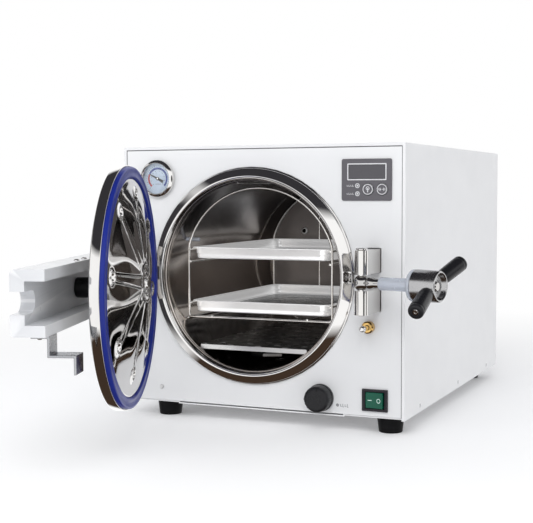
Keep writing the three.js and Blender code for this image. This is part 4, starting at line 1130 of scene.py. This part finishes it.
def make_switch_marks():
    tilt = Matrix.Translation((SWITCH_X, FRONT + 0.5, SWITCH_Z)) @ Matrix.Rotation(math.radians(-7), 4, "Z")
    slope = math.atan2(1.6, 11.7)
    for name, side in (("rocker_dash", -1), ("rocker_ring", 1)):
        place = (tilt @ Matrix.Translation((0, -2.5, 0)) @ Matrix.Rotation(-side * slope, 4, "Z") @ ALONG_Y)
        bm = bmesh.new()
        if side < 0:
            stroke(bm, -8.4, 0, -3.8, 0, 0.95, -0.12, 0.1, place)
        else:
            add_frame(bm, circle(2.9, 28, 6.2, 0), circle(2.1, 28, 6.2, 0), -0.12, 0.1, place)
        piece(name, bm, PALE_MARK, "switch_rocker")


make_cover()
make_cabinet_screws()
make_ring()
make_chamber()
make_baffle()
make_rack()
make_tray("tray_upper", UPPER_RIM)
make_tray("tray_lower", LOWER_RIM)
make_pan()
make_gasket()
dress("door_bar", CASTING, 1.6)
make_bar_details()
make_grips()
make_blocks()
make_bezel()
make_needle()
make_gap_shadow()
make_bolt_pieces()
make_knob()
make_panel_marks()
make_display()
make_gauge_print()
make_switch_marks()


# ---- studio ----
def floor_finish():
    """Pale matt floor that melts into the white backdrop away from the cabinet."""
    material = finish("floor", (0.95, 0.95, 0.955), 0.8, vary=0.006, bump=0.0, patches=2, shine=0.1,
                      glow=0.10)
    tree = material.node_tree
    shader = next(n for n in tree.nodes if n.type == "BSDF_PRINCIPLED")
    out = next(n for n in tree.nodes if n.type == "OUTPUT_MATERIAL")
    where = tree.nodes.new("ShaderNodeTexCoord").outputs["Object"]
    reach = tree.nodes.new("ShaderNodeVectorMath")
    reach.operation = "LENGTH"
    tree.links.new(where, reach.inputs[0])
    ramp = spread(tree, reach.outputs["Value"], 0, 1, 0.35, 1.3)
    white = tree.nodes.new("ShaderNodeEmission")
    white.inputs[0].default_value = (1, 1, 1, 1)
    seen = tree.nodes.new("ShaderNodeLightPath").outputs["Is Camera Ray"]
    both = tree.nodes.new("ShaderNodeMath")
    both.operation = "MULTIPLY"
    tree.links.new(ramp, both.inputs[0])
    tree.links.new(seen, both.inputs[1])
    mix = tree.nodes.new("ShaderNodeMixShader")
    tree.links.new(both.outputs[0], mix.inputs[0])
    tree.links.new(shader.outputs[0], mix.inputs[1])
    tree.links.new(white.outputs[0], mix.inputs[2])
    tree.links.new(mix.outputs[0], out.inputs[0])
    return material


FLOOR_HALF, FLOOR_THICK, FOOT_HEIGHT = 9000, 8, 20


def make_floor():
    bm = bmesh.new()
    low = COVER_LOW.z - FOOT_HEIGHT
    add_box(bm, -FLOOR_HALF, FLOOR_HALF, -FLOOR_HALF, FLOOR_HALF, low - FLOOR_THICK, low, Matrix.Identity(4))
    floor = object_from("floor", bm, floor_finish())
    floor.visible_glossy = False  # the polished parts reflect the dark below the studio's bright belt instead


BELT = 0.56  # sine of the bright belt's edge above and below the horizon
BELT_WHITE = (1.0, 1.0, 1.0)
DARK_ABOVE = (0.035, 0.034, 0.038)
DARK_BELOW = (0.050, 0.032, 0.022)
DARK_GAP = (0.040, 0.038, 0.042)
# azimuth, then how far from it the dark is full and where it ends, in degrees
DARK_GAPS = ((18, 10, 13), (-29, 11, 17), (-168, 24, 35))


MIRRORED_POWER, SOFT_POWER = 1.25, 0.72  # the studio as seen in polished parts, and as it lights the rest


def make_world():
    """A white backdrop for the camera, a soft light for matt parts, and a bright belt for polished parts."""
    world = bpy.data.worlds.new("studio")
    bpy.context.scene.world = world
    world.use_nodes = True
    tree = world.node_tree
    tree.nodes.clear()
    new, link = tree.nodes.new, tree.links.new
    direction = new("ShaderNodeTexCoord").outputs["Generated"]
    split = new("ShaderNodeSeparateXYZ")
    link(direction, split.inputs[0])
    up = split.outputs[2]
    above = spread(tree, up, 0, 1, BELT - 0.05, BELT + 0.06)
    below = spread(tree, up, 1, 0, -BELT - 0.08, -BELT + 0.04)
    tint = blended(tree, above, BELT_WHITE, DARK_ABOVE)
    tint = blended(tree, below, tint, DARK_BELOW)
    for azimuth, full, none in DARK_GAPS:
        turn = math.radians(azimuth)
        dot = new("ShaderNodeVectorMath")
        dot.operation = "DOT_PRODUCT"
        link(direction, dot.inputs[0])
        dot.inputs[1].default_value = (math.cos(turn), math.sin(turn), 0)
        start, end = math.cos(math.radians(none)), math.cos(math.radians(full))
        inside = spread(tree, dot.outputs["Value"], 0, 1, start, end)
        tint = blended(tree, inside, tint, DARK_GAP)
    glossy = new("ShaderNodeBackground")
    link(tint, glossy.inputs[0])
    glossy.inputs[1].default_value = MIRRORED_POWER
    soft = new("ShaderNodeBackground")
    soft.inputs[0].default_value = (0.97, 0.98, 1.0, 1)
    soft.inputs[1].default_value = SOFT_POWER
    seen = new("ShaderNodeBackground")
    seen.inputs[0].default_value = (1, 1, 1, 1)
    seen.inputs[1].default_value = 1.0
    path = new("ShaderNodeLightPath")
    first, second, out = new("ShaderNodeMixShader"), new("ShaderNodeMixShader"), new("ShaderNodeOutputWorld")
    link(path.outputs["Is Glossy Ray"], first.inputs[0])
    link(soft.outputs[0], first.inputs[1])
    link(glossy.outputs[0], first.inputs[2])
    link(path.outputs["Is Camera Ray"], second.inputs[0])
    link(first.outputs[0], second.inputs[1])
    link(seen.outputs[0], second.inputs[2])
    link(second.outputs[0], out.inputs[0])


LIGHT_TARGET = (0, -0.2, 0.18)


def add_light(name, where, size, watts):
    data = bpy.data.lights.new(name, "AREA")
    data.shape = "RECTANGLE"
    data.size, data.size_y = size
    data.energy = watts
    light = bpy.data.objects.new(name, data)
    bpy.context.scene.collection.objects.link(light)
    light.location = where
    aim = Vector(LIGHT_TARGET) - Vector(where)
    light.rotation_euler = aim.to_track_quat("-Z", "Y").to_euler()
    light.visible_glossy = False


def make_lights():
    add_light("key", (0.5, -2.2, 1.7), (1.6, 1.2), 26)
    add_light("fill", (-1.6, -1.8, 1.0), (1.4, 1.4), 8)


CAMERA_TURN = (23.657, 3.568, -0.167)  # yaw, pitch and roll in degrees
CAMERA_PLACE = (0.61815, -1.64391, 0.29171)
LENS, SENSOR = 77.87, 36


def make_camera():
    yaw, pitch, roll = (math.radians(angle) for angle in CAMERA_TURN)
    place = Vector(CAMERA_PLACE)
    ahead = Vector((-math.sin(yaw) * math.cos(pitch), math.cos(yaw) * math.cos(pitch), -math.sin(pitch)))
    right = Vector((math.cos(yaw), math.sin(yaw), 0))
    up = right.cross(ahead)
    right, up = (right * math.cos(roll) + up * math.sin(roll), up * math.cos(roll) - right * math.sin(roll))
    data = bpy.data.cameras.new("camera")
    data.sensor_width = SENSOR
    data.lens = LENS
    camera = bpy.data.objects.new("camera", data)
    bpy.context.scene.collection.objects.link(camera)
    turn = Matrix((right, up, -ahead)).transposed().to_4x4()
    camera.matrix_world = Matrix.Translation(place) @ turn
    bpy.context.scene.camera = camera


make_floor()
make_world()
make_lights()
make_camera()
bpy.context.scene.view_settings.view_transform = "Standard"
